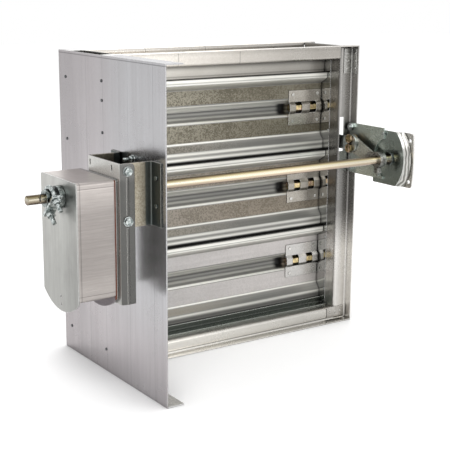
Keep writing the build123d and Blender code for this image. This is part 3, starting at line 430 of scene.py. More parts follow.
def new_material(name):
    """Material with a plain Principled shader; returns its tree, shader and object coordinates."""
    material = bpy.data.materials.new(name)
    material.use_nodes = True
    tree = material.node_tree
    tree.nodes.clear()
    output = tree.nodes.new("ShaderNodeOutputMaterial")
    shader = tree.nodes.new("ShaderNodeBsdfPrincipled")
    tree.links.new(shader.outputs["BSDF"], output.inputs["Surface"])
    place = tree.nodes.new("ShaderNodeTexCoord")
    return material, tree, shader, place.outputs["Object"]


def bump(tree, height, distance, strength, normal=None):
    """Bump node; returns its normal."""
    node = tree.nodes.new("ShaderNodeBump")
    node.inputs["Distance"].default_value = distance
    node.inputs["Strength"].default_value = strength
    tree.links.new(height, node.inputs["Height"])
    if normal is not None:
        tree.links.new(normal, node.inputs["Normal"])
    return node.outputs["Normal"]


def part_of(tree, place, axis):
    """One coordinate of the piece, in metres."""
    split = tree.nodes.new("ShaderNodeSeparateXYZ")
    tree.links.new(place, split.inputs["Vector"])
    return split.outputs[axis]


def span(tree, value, low, high, soft):
    """Mask that is 1 between two values, with soft borders."""
    rise = ramp_value(tree, value, low - soft, low + soft)
    fall = ramp_value(tree, value, high - soft, high + soft, 1.0, 0.0)
    return product(tree, rise, fall)


def thin_line(tree, value, centre, width, depth):
    """Factor that dips by a share at a thin line and is 1 elsewhere."""
    away = math_node(tree, "ABSOLUTE", math_node(tree, "SUBTRACT", value, centre))
    return ramp_value(tree, away, 0.3 * width, width, 1.0 - depth, 1.0)


def along(tree, place, axis, low, high, out_low=0.0, out_high=1.0):
    """Smooth map of one coordinate of the piece."""
    return ramp_value(tree, part_of(tree, place, axis), low, high, out_low, out_high)


def crease(tree, place, axis, centre, width, depth):
    """Factor that dips at a thin line across one coordinate of the piece."""
    return thin_line(tree, part_of(tree, place, axis), centre, width, depth)


def product(tree, *values):
    """Product of several sockets or numbers."""
    result = values[0]
    for value in values[1:]:
        result = math_node(tree, "MULTIPLY", result, value)
    return result


def scaled_colour(tree, colour_socket, factor):
    """Colour times a value."""
    node = tree.nodes.new("ShaderNodeVectorMath")
    node.operation = "SCALE"
    tree.links.new(colour_socket, node.inputs[0])
    tree.links.new(factor, node.inputs["Scale"])
    return node.outputs["Vector"]


def toned(value, factor, plus=0.0):
    """Colour made lighter or darker by a factor and an amount."""
    brightest = 0.95
    return tuple(min(brightest, part * factor + plus) for part in value)


def finish_surface(tree, shader, tone, bright, edge, depth, reach=0.016, wear_and_highlight=0.75):
    """Edges with wear and a painted highlight over a tone, then painted shade in crevices over both;
    returns the edges' normal.
    """
    edges = place_group(tree, "Edge wear and highlight", Width=edge)
    gaps = place_group(tree, "Painted crevice shade", Distance=reach)
    # Edges with wear and a painted highlight in the bright colour
    wear_and_highlight_colour = mix_colour(tree, product(tree, edges.outputs["Mask"], wear_and_highlight), tone, bright)
    # Painted shade in crevices and gaps, as strong as depth
    opened = scaled_sum(tree, gaps.outputs["Open"], depth, 1.0 - depth)
    tree.links.new(scaled_colour(tree, wear_and_highlight_colour, opened), shader.inputs["Base Color"])
    return edges.outputs["Normal"]


def close_shader(tree, shader, metallic, roughness, normal):
    """Share of metal, roughness and relief of a finish."""
    shader.inputs["Metallic"].default_value = metallic
    tree.links.new(roughness, shader.inputs["Roughness"])
    tree.links.new(normal, shader.inputs["Normal"])


def galvanised(name, light, dark, stretch, bright, rough, depth, edge=None, streak_share=0.45,
               shade=None, tint=None, crystal=None, streak=None):
    """Zinc-coated sheet with crystals, rolling streaks, handling marks, edges with wear and a painted
    highlight, and painted shade in its crevices.
    """
    look = bpy.context.scene.sheet_finish
    material, tree, shader, place = new_material(name)
    crystals = place_group(tree, "Zinc crystals", Vector=place, Size=crystal or look.crystal_size)
    width = streak or look.streak_width
    streaks = place_group(tree, "Long streaks", Vector=place, Width=width, Stretch=stretch)
    marks = place_group(tree, "Handling marks", Vector=place, Size=0.09)
    both = tree.nodes.new("ShaderNodeMix")
    both.inputs[0].default_value = streak_share
    tree.links.new(crystals.outputs["Mask"], both.inputs[2])
    tree.links.new(streaks.outputs["Mask"], both.inputs[3])
    tone = mix_colour(tree, both.outputs[0], dark, light)
    if tint is not None:
        tone = tint(tree, place, tone, both.outputs[0])
    tone = mix_colour(tree, product(tree, marks.outputs["Patches"], 0.18), tone, dark)
    if shade is not None:
        tone = scaled_colour(tree, tone, shade(tree, place))
    normal = finish_surface(tree, shader, tone, bright, edge or look.edge_width, depth)
    grain = scaled_sum(tree, crystals.outputs["Mask"], -0.10, rough + 0.05)
    grain = scaled_sum(tree, marks.outputs["Patches"], 0.09, grain)
    grain = scaled_sum(tree, marks.outputs["Scratches"], -0.08, grain)
    relief = bump(tree, crystals.outputs["Height"], 0.00012, 0.35, normal)
    relief = bump(tree, streaks.outputs["Height"], 0.0002, 0.18, relief)
    close_shader(tree, shader, 1.0, grain, relief)
    return material


def plated(name, light, dark, rough, patch=0.012, rose=None, edge=0.0006, reach=0.010, wear_and_highlight=0.6):
    """Plated steel part with soft cloudy colour, small pits, edges with wear and a painted highlight, and
    painted shade in its crevices.
    """
    material, tree, shader, place = new_material(name)
    marks = place_group(tree, "Handling marks", Vector=place, Size=patch)
    cloud = noise(tree, place, 1.0 / patch, 3.0, 0.6)
    tone = mix_colour(tree, ramp_value(tree, cloud, 0.35, 0.65), dark, light)
    if rose is not None:
        shimmer = noise(tree, place, 0.7 / patch, 2.0, 0.5)
        tone = mix_colour(tree, ramp_value(tree, shimmer, 0.48, 0.66), tone, rose)
    normal = finish_surface(tree, shader, tone, toned(light, 1.3, 0.10), edge, 0.93, reach, wear_and_highlight)
    grain = scaled_sum(tree, marks.outputs["Patches"], 0.12, rough)
    pits = noise(tree, place, 1400.0, 2.0, 0.6)
    close_shader(tree, shader, 1.0, grain, bump(tree, pits, 0.00005, 0.3, normal))
    return material


def brushed(name, light, dark, width, stretch, rough, shade=None, depth=0.85):
    """Aluminium or stainless steel with long fine brushing."""
    material, tree, shader, place = new_material(name)
    lines = place_group(tree, "Long streaks", Vector=place, Width=width, Stretch=stretch)
    marks = place_group(tree, "Handling marks", Vector=place, Size=0.05)
    tone = mix_colour(tree, lines.outputs["Mask"], dark, light)
    tone = mix_colour(tree, product(tree, marks.outputs["Patches"], 0.2), tone, dark)
    if shade is not None:
        tone = scaled_colour(tree, tone, shade(tree, place))
    bright = toned(light, 1.3, 0.35)
    normal = finish_surface(tree, shader, tone, bright, 0.0011, depth, 0.014, 0.85)
    grain = scaled_sum(tree, lines.outputs["Mask"], -0.1, rough + 0.06)
    grain = scaled_sum(tree, marks.outputs["Patches"], 0.08, grain)
    close_shader(tree, shader, 1.0, grain, bump(tree, lines.outputs["Height"], 0.00008, 0.3, normal))
    return material


def moulded(name, light, rough):
    """Rubber, moulded plastic or coated wire with a fine matte grain."""
    material, tree, shader, place = new_material(name)
    grain_size = 0.0006
    grain = noise(tree, place, 1.0 / grain_size, 3.0, 0.6)
    cloud = noise(tree, place, 60.0, 3.0, 0.5)
    tone = mix_colour(tree, ramp_value(tree, cloud, 0.3, 0.7), toned(light, 0.6), light)
    pale = ramp_value(tree, grain, 0.55, 0.8, 0.0, 0.5)
    tree.links.new(mix_colour(tree, pale, tone, toned(light, 1.5, 0.01)), shader.inputs["Base Color"])
    matte = ramp_value(tree, grain, 0.2, 0.8, rough - 0.08, rough + 0.12)
    close_shader(tree, shader, 0.0, matte, bump(tree, grain, 0.00008, 0.4))
    return material


def fibre(name, light, dark, front):
    """Pressed fibre sheet with short flecks, red at its cut front edge and grey behind it."""
    material, tree, shader, place = new_material(name)
    flecks = place_group(tree, "Long streaks", Vector=place, Width=0.0012, Stretch=(1.0, 0.3, 1.0))
    tone = mix_colour(tree, flecks.outputs["Mask"], dark, light)
    grey = mix_colour(tree, flecks.outputs["Mask"], (0.20, 0.175, 0.19), (0.30, 0.27, 0.285))
    tone = mix_colour(tree, along(tree, place, "Y", front, front + 0.001), tone, grey)
    tree.links.new(tone, shader.inputs["Base Color"])
    matte = ramp_value(tree, flecks.outputs["Mask"], 0.0, 1.0, 0.9, 0.65)
    close_shader(tree, shader, 0.0, matte, bump(tree, flecks.outputs["Height"], 0.0002, 0.5))
    return material


def local(name, point):
    """A point of the model in the coordinates of a node."""
    return NODES[name].matrix_world.inverted() @ Vector(point)


def finish(material, *names):
    """Give a material to CAD nodes."""
    for name in names:
        mesh = NODES[name].data
        mesh.materials.clear()
        mesh.materials.append(material)


def link_object(name, mesh, material, body):
    """New piece of the scene that rides on a body."""
    piece = bpy.data.objects.new(name, mesh)
    bpy.context.scene.collection.objects.link(piece)
    mesh.materials.append(material)
    for polygon in mesh.polygons:
        polygon.use_smooth = True
    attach(piece, body)
    return piece


def dome_mesh(name, places, radius, height):
    """Low domed heads at places, each given as a point and its outward direction."""
    sides, levels = 16, 4
    shape = bmesh.new()
    for point, outward in places:
        turn = Vector(outward).to_track_quat("Z", "Y").to_matrix().to_4x4()
        matrix = Matrix.Translation(point) @ turn
        rings = []
        for level in range(levels):
            angle = math.pi / 2 * level / levels
            wide = radius * math.cos(angle)
            ring = []
            for side in range(sides):
                around = 2 * math.pi * side / sides
                spot = (wide * math.cos(around), wide * math.sin(around), height * math.sin(angle))
                ring.append(shape.verts.new(matrix @ Vector(spot)))
            rings.append(ring)
        top = shape.verts.new(matrix @ Vector((0, 0, height)))
        for side in range(sides):
            nearby = (side + 1) % sides
            for low, high in zip(rings, rings[1:]):
                shape.faces.new((low[side], low[nearby], high[nearby], high[side]))
            shape.faces.new((rings[-1][side], rings[-1][nearby], top))
        shape.faces.new(list(reversed(rings[0])))
    return closed_mesh(name, shape)


def bolt_mesh(name, foot, radius, stem, reach):
    """Washer, six-sided nut and bolt end that stand on a sheet and point along -X."""
    washer_top, nut_top = 0.0010, 0.0050
    steps = (
        (24, radius * 1.25, 0.0, washer_top), (6, radius, washer_top, nut_top), (16, stem, nut_top, reach),
    )
    shape = bmesh.new()
    for sides, size, start, end in steps:
        middle = Matrix.Translation((foot[0] - (start + end) / 2, foot[1], foot[2]))
        bmesh.ops.create_cone(
            shape, cap_ends=True, segments=sides, radius1=size, radius2=size, depth=end - start,
            matrix=middle @ Matrix.Rotation(math.pi / 2, 4, "Y"),
        )
    return closed_mesh(name, shape)


def closed_mesh(name, shape):
    """Mesh from a finished bmesh."""
    mesh = bpy.data.meshes.new(name)
    shape.to_mesh(mesh)
    shape.free()
    return mesh


class DamperPiece:
    """Shared parts of the operators."""

    bl_options = {"REGISTER", "UNDO"}


class DAMPER_OT_groups(DamperPiece, bpy.types.Operator):
    """Build the shader groups that the finishes share"""

    bl_idname = "damper.groups"
    bl_label = "Shader groups"

    def execute(self, context):
        build_crystal_group()
        build_streak_group()
        build_edge_group()
        build_grime_group()
        build_crevice_group()
        build_band_group()
        return {"FINISHED"}


class DAMPER_OT_sideplate(DamperPiece, bpy.types.Operator):
    """Finish the long sideplate and its rivets"""

    bl_idname = "damper.sideplate"
    bl_label = "Sideplate"

    def execute(self, context):
        look = context.scene.sheet_finish
        top_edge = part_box("sideplate")[1][2]

        def shade(tree, place):
            folds = [crease(tree, place, "Y", fold, 0.0009, 0.22) for fold in SIDEPLATE_FOLDS]
            top = crease(tree, place, "Z", top_edge - 0.0035, 0.0010, 0.45)
            rear = along(tree, place, "Y", -0.05, 0.075, 1.0, 0.88)
            return product(tree, top, rear, *folds)

        def tint(tree, place, tone, mask):
            rose = mix_colour(tree, mask, (0.35, 0.318, 0.325), (0.475, 0.443, 0.453))
            tone = mix_colour(tree, along(tree, place, "Y", -0.13, -0.02, 0.0, 0.75), tone, rose)
            tone = mix_colour(tree, along(tree, place, "Z", 0.16, 0.05, 0.0, 0.7), tone, rose)
            # The foot at the bottom is painted near white: painted light
            inside = along(tree, place, "X", -0.2286, -0.2276)
            foot = product(tree, along(tree, place, "Z", 0.0042, 0.0030), inside)
            return mix_colour(tree, foot, tone, (0.90, 0.90, 0.89))

        sheet = galvanised(
            "Sideplate sheet", look.side_light, look.side_dark, ALONG_Z, (0.80, 0.80, 0.79), rough=0.22,
            depth=0.5, streak_share=0.85, shade=shade, tint=tint,
        )
        finish(sheet, "sideplate")
        rivets = plated("Dark rivets", (0.16, 0.165, 0.17), (0.07, 0.075, 0.08), rough=0.4, wear_and_highlight=0.3)
        finish(rivets, "sideplate_rivets")
        return {"FINISHED"}


class DAMPER_OT_frame(DamperPiece, bpy.types.Operator):
    """Finish the channels, gussets, stops and seals of the frame"""

    bl_idname = "damper.frame"
    bl_label = "Frame"

    def execute(self, context):
        look = context.scene.sheet_finish
        fittings = context.scene.fitting_finish

        def upright_shade(tree, place):
            lower = along(tree, place, "Z", 0.20, 0.11, 0.33, 1.0)
            upper = along(tree, place, "Z", 0.29, 0.36, 1.0, 1.5)
            lip = along(tree, place, "Y", -0.0500, -0.0505, 1.0, 1.25)
            return product(tree, lower, upper, lip)

        def head_shade(tree, place):
            fade = along(tree, place, "X", -0.20, 0.20, 1.20, 0.62)
            seams = [crease(tree, place, "X", seam, 0.0011, 0.35) for seam in HEAD_SEAMS]
            top = along(tree, place, "Z", 0.4562, 0.4568, 1.0, 1.45)
            return product(tree, fade, top, *seams)

        def head_stop_shade(tree, place):
            fade = along(tree, place, "X", -0.20, 0.20, 1.15, 0.60)
            upper = along(tree, place, "Z", 0.424, 0.434, 1.0, 0.22)
            ridge = crease(tree, place, "Z", 0.4165, 0.0016, 0.35)
            gap = along(tree, place, "Z", 0.4126, 0.4138, 0.02, 1.0)
            return product(tree, fade, upper, ridge, gap)

        def sill_shade(tree, place):
            front = along(tree, place, "Y", SILL_FRONT + 0.0190, SILL_FRONT + 0.0170, 0.85, 1.3)
            lip = along(tree, place, "Z", 0.0030, 0.0022, 1.0, 1.1)
            fold = crease(tree, place, "Z", 0.0048, 0.0014, 0.55)
            return product(tree, front, lip, fold, along(tree, place, "X", -0.20, 0.22, 1.1, 0.72))

        def sill_stop_shade(tree, place):
            front = along(tree, place, "Y", -0.0155, -0.0145)
            face = along(tree, place, "Z", 0.0320, 0.0314, 0.0, 0.75)
            return math_node(tree, "SUBTRACT", 1.0, product(tree, front, face))

        jamb = galvanised(
            "Jamb sheet", look.frame_light, look.frame_dark, ALONG_Z, (0.80, 0.79, 0.77), rough=0.26,
            depth=0.45, streak_share=0.8, shade=upright_shade,
        )
        finish(jamb, "left_jamb", "right_jamb")
        clip = galvanised(
            "Gusset sheet", (0.66, 0.655, 0.63), (0.20, 0.195, 0.18), EVEN, (0.95, 0.95, 0.93),
            rough=0.20, depth=0.95, edge=0.0015, streak_share=0.1,
        )
        finish(clip, "upper_gussets")
        head = galvanised(
            "Head sheet", look.rail_light, look.rail_dark, (0.05, 1.0, 1.0), (0.9, 0.89, 0.86),
            rough=0.28, depth=0.5, shade=head_shade,
        )
        finish(head, "head_rail")
        head_stop = galvanised(
            "Head stop sheet", (0.62, 0.60, 0.56), (0.42, 0.395, 0.35), ALONG_X, (0.6, 0.59, 0.56),
            rough=0.30, depth=0.4, edge=0.0006, streak_share=0.7, shade=head_stop_shade,
        )
        finish(head_stop, "head_stop")
        sill = galvanised(
            "Sill sheet", (0.68, 0.66, 0.62), (0.50, 0.485, 0.45), ALONG_X, (0.92, 0.92, 0.90),
            rough=0.24, depth=0.15, streak_share=0.7, shade=sill_shade,
        )
        finish(sill, "sill_rail")
        sill_stop = galvanised(
            "Sill stop sheet", (0.42, 0.45, 0.41), (0.27, 0.30, 0.27), ALONG_X, (0.95, 0.96, 0.93),
            rough=0.24, depth=0.4, shade=sill_stop_shade,
        )
        finish(sill_stop, "sill_stop")
        corner = galvanised(
            "Lower gusset sheet", (0.52, 0.50, 0.47), (0.30, 0.285, 0.26), EVEN, (0.9, 0.9, 0.88),
            rough=0.22, depth=0.6, edge=0.0012,
        )
        finish(corner, "lower_gussets")
        strip = brushed(
            "Stainless strip", look.stainless, toned(look.stainless, 0.7), 0.0012, ALONG_Z, rough=0.06
        )
        finish(strip, "left_jamb_seal", "right_jamb_seal")
        finish(moulded("Silicone", fittings.silicone, rough=0.45), "sill_seal")
        bush = plated("Bush steel", fittings.bush, toned(fittings.bush, 0.5), rough=0.25, wear_and_highlight=0.4)
        finish(bush, "axle_bushes")
        return {"FINISHED"}


class DAMPER_OT_blades(DamperPiece, bpy.types.Operator):
    """Finish the blades with their plates, axles, rivets, seals and cranks"""

    bl_idname = "damper.blades"
    bl_label = "Blades"

    def execute(self, context):
        look = context.scene.sheet_finish
        fittings = context.scene.fitting_finish
        # Per blade: left and right colour of its flats, share of specks, and lift of the painted light on
        # its bends
        flats = (
            ((0.40, 0.375, 0.30), (0.205, 0.188, 0.142), 0.70, 1.15),
            ((0.35, 0.315, 0.27), (0.25, 0.215, 0.17), 0.50, 0.92),
            ((0.56, 0.54, 0.53), (0.58, 0.55, 0.535), 0.10, 1.0),
        )
        plate = (look.plate_light, look.plate_dark)
        plates = (plate, plate, ((0.60, 0.585, 0.57), (0.44, 0.43, 0.41)))
        axle = plated(
            "Axle yellow zinc", fittings.hex_gold, toned(fittings.hex_gold, 0.45), rough=0.18,
            patch=0.006, rose=fittings.hex_rose, reach=0.006,
        )
        rivet = plated("Rivet zinc", (0.70, 0.69, 0.66), (0.40, 0.39, 0.36), rough=0.22, reach=0.004)
        seal = moulded("Seal silicone", fittings.silicone, rough=0.45)
        crank = plated("Crank zinc", fittings.zinc, fittings.zinc_dark, rough=0.28)
        for number, (flat, (light, dark)) in enumerate(zip(flats, plates), 1):
            name = f"blade_{number}"
            finish(self.blade_material(look, name, *flat), name)
            sheet = galvanised(
                f"Axle plate sheet {number}", light, dark, (0.2, 1.0, 1.0), (0.95, 0.93, 0.90),
                rough=0.24, depth=0.7, edge=0.0013,
            )
            finish(sheet, f"{name}_axle_plates")
            finish(axle, f"{name}_axles")
            finish(rivet, f"{name}_rivets")
            finish(seal, f"{name}_seal")
            finish(crank, f"{name}_crank")
        return {"FINISHED"}

    def blade_material(self, look, name, left, right, specks, lift):
        """Banded, speckled sheet of one blade, with painted light on its bends and a painted shadow in the
        groove at the axle plates.
        """
        material, tree, shader, place = new_material(f"Blade sheet {name[-1]}")
        axle = local(name, (0.0, 0.0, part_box(name)[1][2] - BLADE_HIGH / 1000))
        x = part_of(tree, place, "X")
        height = math_node(tree, "SUBTRACT", part_of(tree, place, "Z"), axle.z)
        bands = place_group(tree, "Blade bands", Height=height)
        crystals = place_group(tree, "Zinc crystals", Vector=place, Size=look.crystal_size)
        streaks = place_group(tree, "Long streaks", Vector=place, Width=0.004, Stretch=ALONG_X)

        grain = ramp_value(tree, crystals.outputs["Mask"], 0.42, 0.58, specks, 0.0)
        flat = mix_colour(tree, ramp_value(tree, x, -0.18, 0.10), left, right)
        flat = mix_colour(tree, grain, flat, look.blade_speck)
        flat = scaled_colour(tree, flat, ramp_value(tree, streaks.outputs["Mask"], 0.0, 1.0, 0.90, 1.08))

        # Painted light on the bends, brighter towards the left, scaled per blade by lift
        fade = ramp_value(tree, x, -0.18, 0.16, 1.10 * lift, 0.86)
        run = ramp_value(tree, streaks.outputs["Mask"], 0.1, 0.9, 0.78, 1.18)
        value = product(tree, bands.outputs["Painted light"], fade, run)
        bend = tree.nodes.new("ShaderNodeCombineColor")
        for channel, share in (("Red", 1.01), ("Green", 1.0), ("Blue", 0.93)):
            tree.links.new(product(tree, value, share), bend.inputs[channel])
        ledge = span(tree, height, -0.0545, -0.0460, 0.0006)
        ledge = product(tree, ledge, ramp_value(tree, x, -0.10, 0.08, 0.75, 0.0))
        grey = mix_colour(tree, grain, (0.40, 0.37, 0.31), look.blade_speck)
        painted_light = mix_colour(tree, ledge, bend.outputs["Color"], grey)
        tone = mix_colour(tree, bands.outputs["Flat"], painted_light, flat)

        # Painted shadow at the ends of the groove by the axle plates
        groove = span(tree, height, -0.0100, 0.0075, 0.0022)
        ends = [span(tree, x, *pair, 0.005) for pair in GROOVE_ENDS]
        rise = math_node(tree, "SUBTRACT", math_node(tree, "ABSOLUTE", height), 0.0045)
        depth = math_node(tree, "SUBTRACT", part_of(tree, place, "Y"), axle.y)
        depth = math_node(tree, "ADD", depth, math_node(tree, "MAXIMUM", rise, 0.0))
        front = ramp_value(tree, depth, 0.0068, 0.0075, 1.0, 0.0)
        painted_groove_shadow = product(tree, groove, front, math_node(tree, "ADD", *ends), 0.98)
        shade = math_node(tree, "SUBTRACT", 1.0, painted_groove_shadow)
        if name == "blade_3":
            shade = product(tree, shade, ramp_value(tree, height, -0.0600, -0.0645, 1.0, 0.20))
        tone = scaled_colour(tree, tone, shade)

        normal = finish_surface(tree, shader, tone, (0.90, 0.89, 0.85), 0.0006, 0.35, 0.012, 0.3)
        relief = bump(tree, crystals.outputs["Height"], 0.00015, 0.4, normal)
        relief = bump(tree, streaks.outputs["Height"], 0.0002, 0.2, relief)
        rough = scaled_sum(tree, crystals.outputs["Mask"], -0.08, 0.36)
        close_shader(tree, shader, 0.5, rough, relief)
        return material


class DAMPER_OT_linkage(DamperPiece, bpy.types.Operator):
    """Finish the tie bar, the drive link and their bolts"""

    bl_idname = "damper.linkage"
    bl_label = "Linkage"

    def execute(self, context):
        fittings = context.scene.fitting_finish
        bar = plated("Link zinc", fittings.zinc, fittings.zinc_dark, rough=0.28)
        finish(bar, "tie_bar")
        link = galvanised(
            "Drive link sheet", (0.72, 0.70, 0.63), (0.38, 0.39, 0.35), EVEN, (0.95, 0.94, 0.92),
            rough=0.24, depth=0.4, edge=0.0016,
        )
        finish(link, "drive_link")
        bolt = plated(
            "Bolt yellow zinc", fittings.bolt_gold, toned(fittings.bolt_gold, 0.35), rough=0.2,
            patch=0.004, rose=fittings.hex_rose, reach=0.007,
        )
        finish(bolt, "link_bolts")
        return {"FINISHED"}


class DAMPER_OT_shaft(DamperPiece, bpy.types.Operator):
    """Finish the cross shaft, its crank, bearings and right bracket"""

    bl_idname = "damper.shaft"
    bl_label = "Shaft and bracket"

    def execute(self, context):
        fittings = context.scene.fitting_finish
        look = context.scene.sheet_finish

        finish(self.shaft_material(fittings), "jackshaft")
        crank = plated("Hub zinc", (0.42, 0.41, 0.39), (0.16, 0.155, 0.145), rough=0.24, patch=0.006)
        finish(crank, "shaft_crank", "crank_set_screw")
        arm = galvanised(
            "Bracket sheet", look.bracket_light, look.bracket_dark, (1.0, 0.3, 1.0), (0.62, 0.64, 0.62),
            rough=0.26, depth=0.35, streak_share=0.3,
        )
        finish(arm, "bracket_arm")

        def step_painted_light(tree, place, tone, mask):
            flat = vector_node(tree, "MULTIPLY", place, (0.0, 1.0, 1.0))
            away = vector_node(tree, "DISTANCE", flat.outputs["Vector"], STEP_CENTRE)
            radius = away.outputs["Value"]
            # Painted reflections: light and dark rings on the slope
            wave = scaled_sum(tree, noise(tree, place, 45.0, 2.0, 0.5), 0.007, radius)
            wave = ramp_value(tree, math_node(tree, "SINE", product(tree, wave, 1900.0)), -0.8, 1.0)
            wavy = mix_colour(tree, wave, (0.20, 0.195, 0.18), (0.62, 0.61, 0.58))
            # Painted highlights: brighter near the hub, a bright edge line and a bright rim
            rim = mix_colour(tree, mask, (0.74, 0.725, 0.70), (0.96, 0.95, 0.93))
            tone = scaled_colour(tree, tone, ramp_value(tree, radius, 0.013, 0.030, 2.2, 1.0))
            tone = mix_colour(tree, span(tree, radius, *STEP_SLOPE, 0.0005), tone, wavy)
            tone = mix_colour(tree, span(tree, radius, *STEP_EDGE, 0.0004), tone, (0.75, 0.76, 0.74))
            return mix_colour(tree, ramp_value(tree, radius, *STEP_RIM), tone, rim)

        plate = galvanised(
            "Bearing plate sheet", (0.42, 0.47, 0.44), (0.25, 0.29, 0.27), (1.0, 1.0, 0.12),
            (0.85, 0.84, 0.82), rough=0.20, depth=0.25, edge=0.0012, streak_share=0.7, tint=step_painted_light,
            streak=0.005,
        )
        finish(plate, "bearing_plate")
        bolts = plated("Bracket bolt zinc", fittings.zinc, fittings.zinc_dark, rough=0.22)
        finish(bolts, "bracket_fasteners")
        bearing = plated(
            "Bearing rim", fittings.bearing, (0.04, 0.045, 0.042), rough=0.2, patch=0.008, edge=0.0012
        )
        finish(bearing, "bracket_bearing", "sideplate_bearing")
        return {"FINISHED"}

    def shaft_material(self, fittings):
        """Yellow zinc with a painted highlight along the middle and painted shade at the top and bottom,
        set by height round the axis, over long streaks.
        """
        material, tree, shader, place = new_material("Shaft yellow zinc")
        axis = local("jackshaft", SHAFT_AXIS)
        height = math_node(tree, "SUBTRACT", part_of(tree, place, "Z"), axis.z)
        streaks = place_group(
            tree, "Long streaks", Vector=place, Width=0.0020, Stretch=(0.003, 1.0, 1.0)
        )
        share = math_node(tree, "ADD", math_node(tree, "DIVIDE", height, 2 * SHAFT_RADIUS), 0.45)
        share = scaled_sum(tree, streaks.outputs["Mask"], 0.10, share)
        dark, light = fittings.shaft_shade, fittings.shaft_highlight
        # Painted highlight in the middle, painted shade towards the top and the bottom
        bands = (
            (0.0, toned(dark, 0.6)), (0.14, (0.46, 0.35, 0.28)), (0.36, (0.66, 0.55, 0.40)),
            (0.52, light), (0.66, light), (0.76, (0.80, 0.70, 0.42)), (0.90, dark),
            (1.0, toned(dark, 0.5)),
        )
        # Painted shade: darker at the tip and towards both ends
        tip = along(tree, place, "X", -0.350, -0.330, 0.55, 1.0)
        left = along(tree, place, "X", -0.21, -0.06, 0.78, 1.0)
        right = along(tree, place, "X", 0.02, 0.17, 1.0, 0.72)
        tone = scaled_colour(tree, colour_bands(tree, share, bands), product(tree, tip, left, right))
        normal = finish_surface(tree, shader, tone, (0.9, 0.82, 0.62), 0.0006, 0.3, 0.010, 0.3)
        rough = scaled_sum(tree, streaks.outputs["Mask"], -0.08, 0.24)
        close_shader(tree, shader, 1.0, rough, bump(tree, streaks.outputs["Height"], 0.0001, 0.3, normal))
        return material


class DAMPER_OT_actuator(DamperPiece, bpy.types.Operator):
    """Finish the actuator and the channel that carries it"""

    bl_idname = "damper.actuator"
    bl_label = "Actuator"

    def execute(self, context):
        look = context.scene.actuator_finish
        sheet = context.scene.sheet_finish
        fittings = context.scene.fitting_finish
        low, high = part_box("actuator_case")

        def case_shade(tree, place):
            bends = (high[2] - 0.008, low[2] + 0.008)
            folds = [crease(tree, place, "Z", bend, 0.0007, 0.40) for bend in bends]
            ridge = crease(tree, place, "Z", high[2] - 0.0095, 0.0006, -0.25)
            upper = along(tree, place, "Z", high[2] - 0.045, high[2] - 0.012, 1.0, 1.40)
            lower = along(tree, place, "Z", low[2] + 0.045, low[2] + 0.015, 1.0, 1.18)
            rib = crease(tree, place, "X", low[0] + 0.0035, 0.0010, 0.35)
            top = along(tree, place, "Z", high[2] - 0.0016, high[2] - 0.0008, 1.0, 1.3)
            return product(tree, upper, lower, top, rib, *folds, ridge)

        def face_shade(tree, place):
            side = along(tree, place, "Y", high[1] - 0.05, low[1] + 0.01, 1.08, 0.88)
            return product(tree, side, along(tree, place, "Z", low[2], high[2], 0.80, 1.08))

        face = brushed(
            "Face aluminium", look.face_light, look.face_dark, 0.004, (1.0, 1.0, 0.1), rough=0.34,
            shade=face_shade, depth=0.75,
        )
        finish(face, "actuator_face", "actuator_base")
        case = brushed(
            "Housing aluminium", look.case_light, look.case_dark, look.brush_width, ALONG_X, rough=0.28,
            shade=case_shade, depth=0.6,
        )
        finish(case, "actuator_case")
        red_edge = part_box("actuator_gasket")[0][1] + 0.0016
        finish(fibre("Gasket fibre", look.gasket_light, look.gasket_dark, red_edge), "actuator_gasket")
        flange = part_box("actuator_channel")[0][1]

        def channel_shade(tree, place):
            front = along(tree, place, "Y", flange + 0.0045, flange + 0.0028, 1.0, 0.23)
            inner = along(tree, place, "X", -0.2788, -0.2776, 1.0, 1.3)
            side = along(tree, place, "Y", flange + 0.0045, flange + 0.0030)
            above = along(tree, place, "Z", high[2] - 0.004, high[2] + 0.004, 1.0, 1.35)
            return product(tree, front, above, math_node(tree, "MAXIMUM", inner, side))

        channel = galvanised(
            "Channel sheet", sheet.channel_light, sheet.channel_dark, (1.0, 1.0, 0.05),
            (0.90, 0.88, 0.84), rough=0.24, depth=0.5, edge=0.0013, streak_share=0.6,
            shade=channel_shade,
        )
        finish(channel, "actuator_channel")

        def angle_painted_shade(tree, place, tone, mask):
            # The bend and the foot of each angle are painted dark: painted shade
            dark = mix_colour(tree, mask, (0.07, 0.082, 0.080), (0.13, 0.145, 0.14))
            return mix_colour(tree, along(tree, place, "X", -0.2430, -0.2400), tone, dark)

        angle = galvanised(
            "Angle sheet", sheet.angle_light, sheet.angle_dark, (1.0, 1.0, 0.6), (0.62, 0.60, 0.55),
            rough=0.30, depth=0.4, edge=0.0012, streak_share=0.1, tint=angle_painted_shade, crystal=0.0013,
        )
        finish(angle, "front_mount_angle", "rear_mount_angle")
        zinc, shaded = fittings.zinc, fittings.zinc_dark
        bright = plated("Bright zinc", zinc, shaded, rough=0.14, patch=0.0035, edge=0.0008)
        finish(bright, "channel_bolts", "clamp_jaw", "clamp_nuts")
        dull = plated(
            "Dull zinc", (0.34, 0.37, 0.36), (0.08, 0.10, 0.097), rough=0.18, patch=0.004, edge=0.0007
        )
        finish(dull, "mount_screws", "output_hub")
        finish(plated("Inner zinc", zinc, shaded, rough=0.22, patch=0.006), "drive_gear", "spring_drum")
        finish(plated("Threaded zinc", zinc, shaded, rough=0.18, patch=0.004), "clamp_bolt")
        finish(moulded("Black wire", fittings.wire, rough=0.4), "pointer_clip")
        finish(moulded("Motor housing", (0.10, 0.10, 0.10), rough=0.5), "motor")
        return {"FINISHED"}


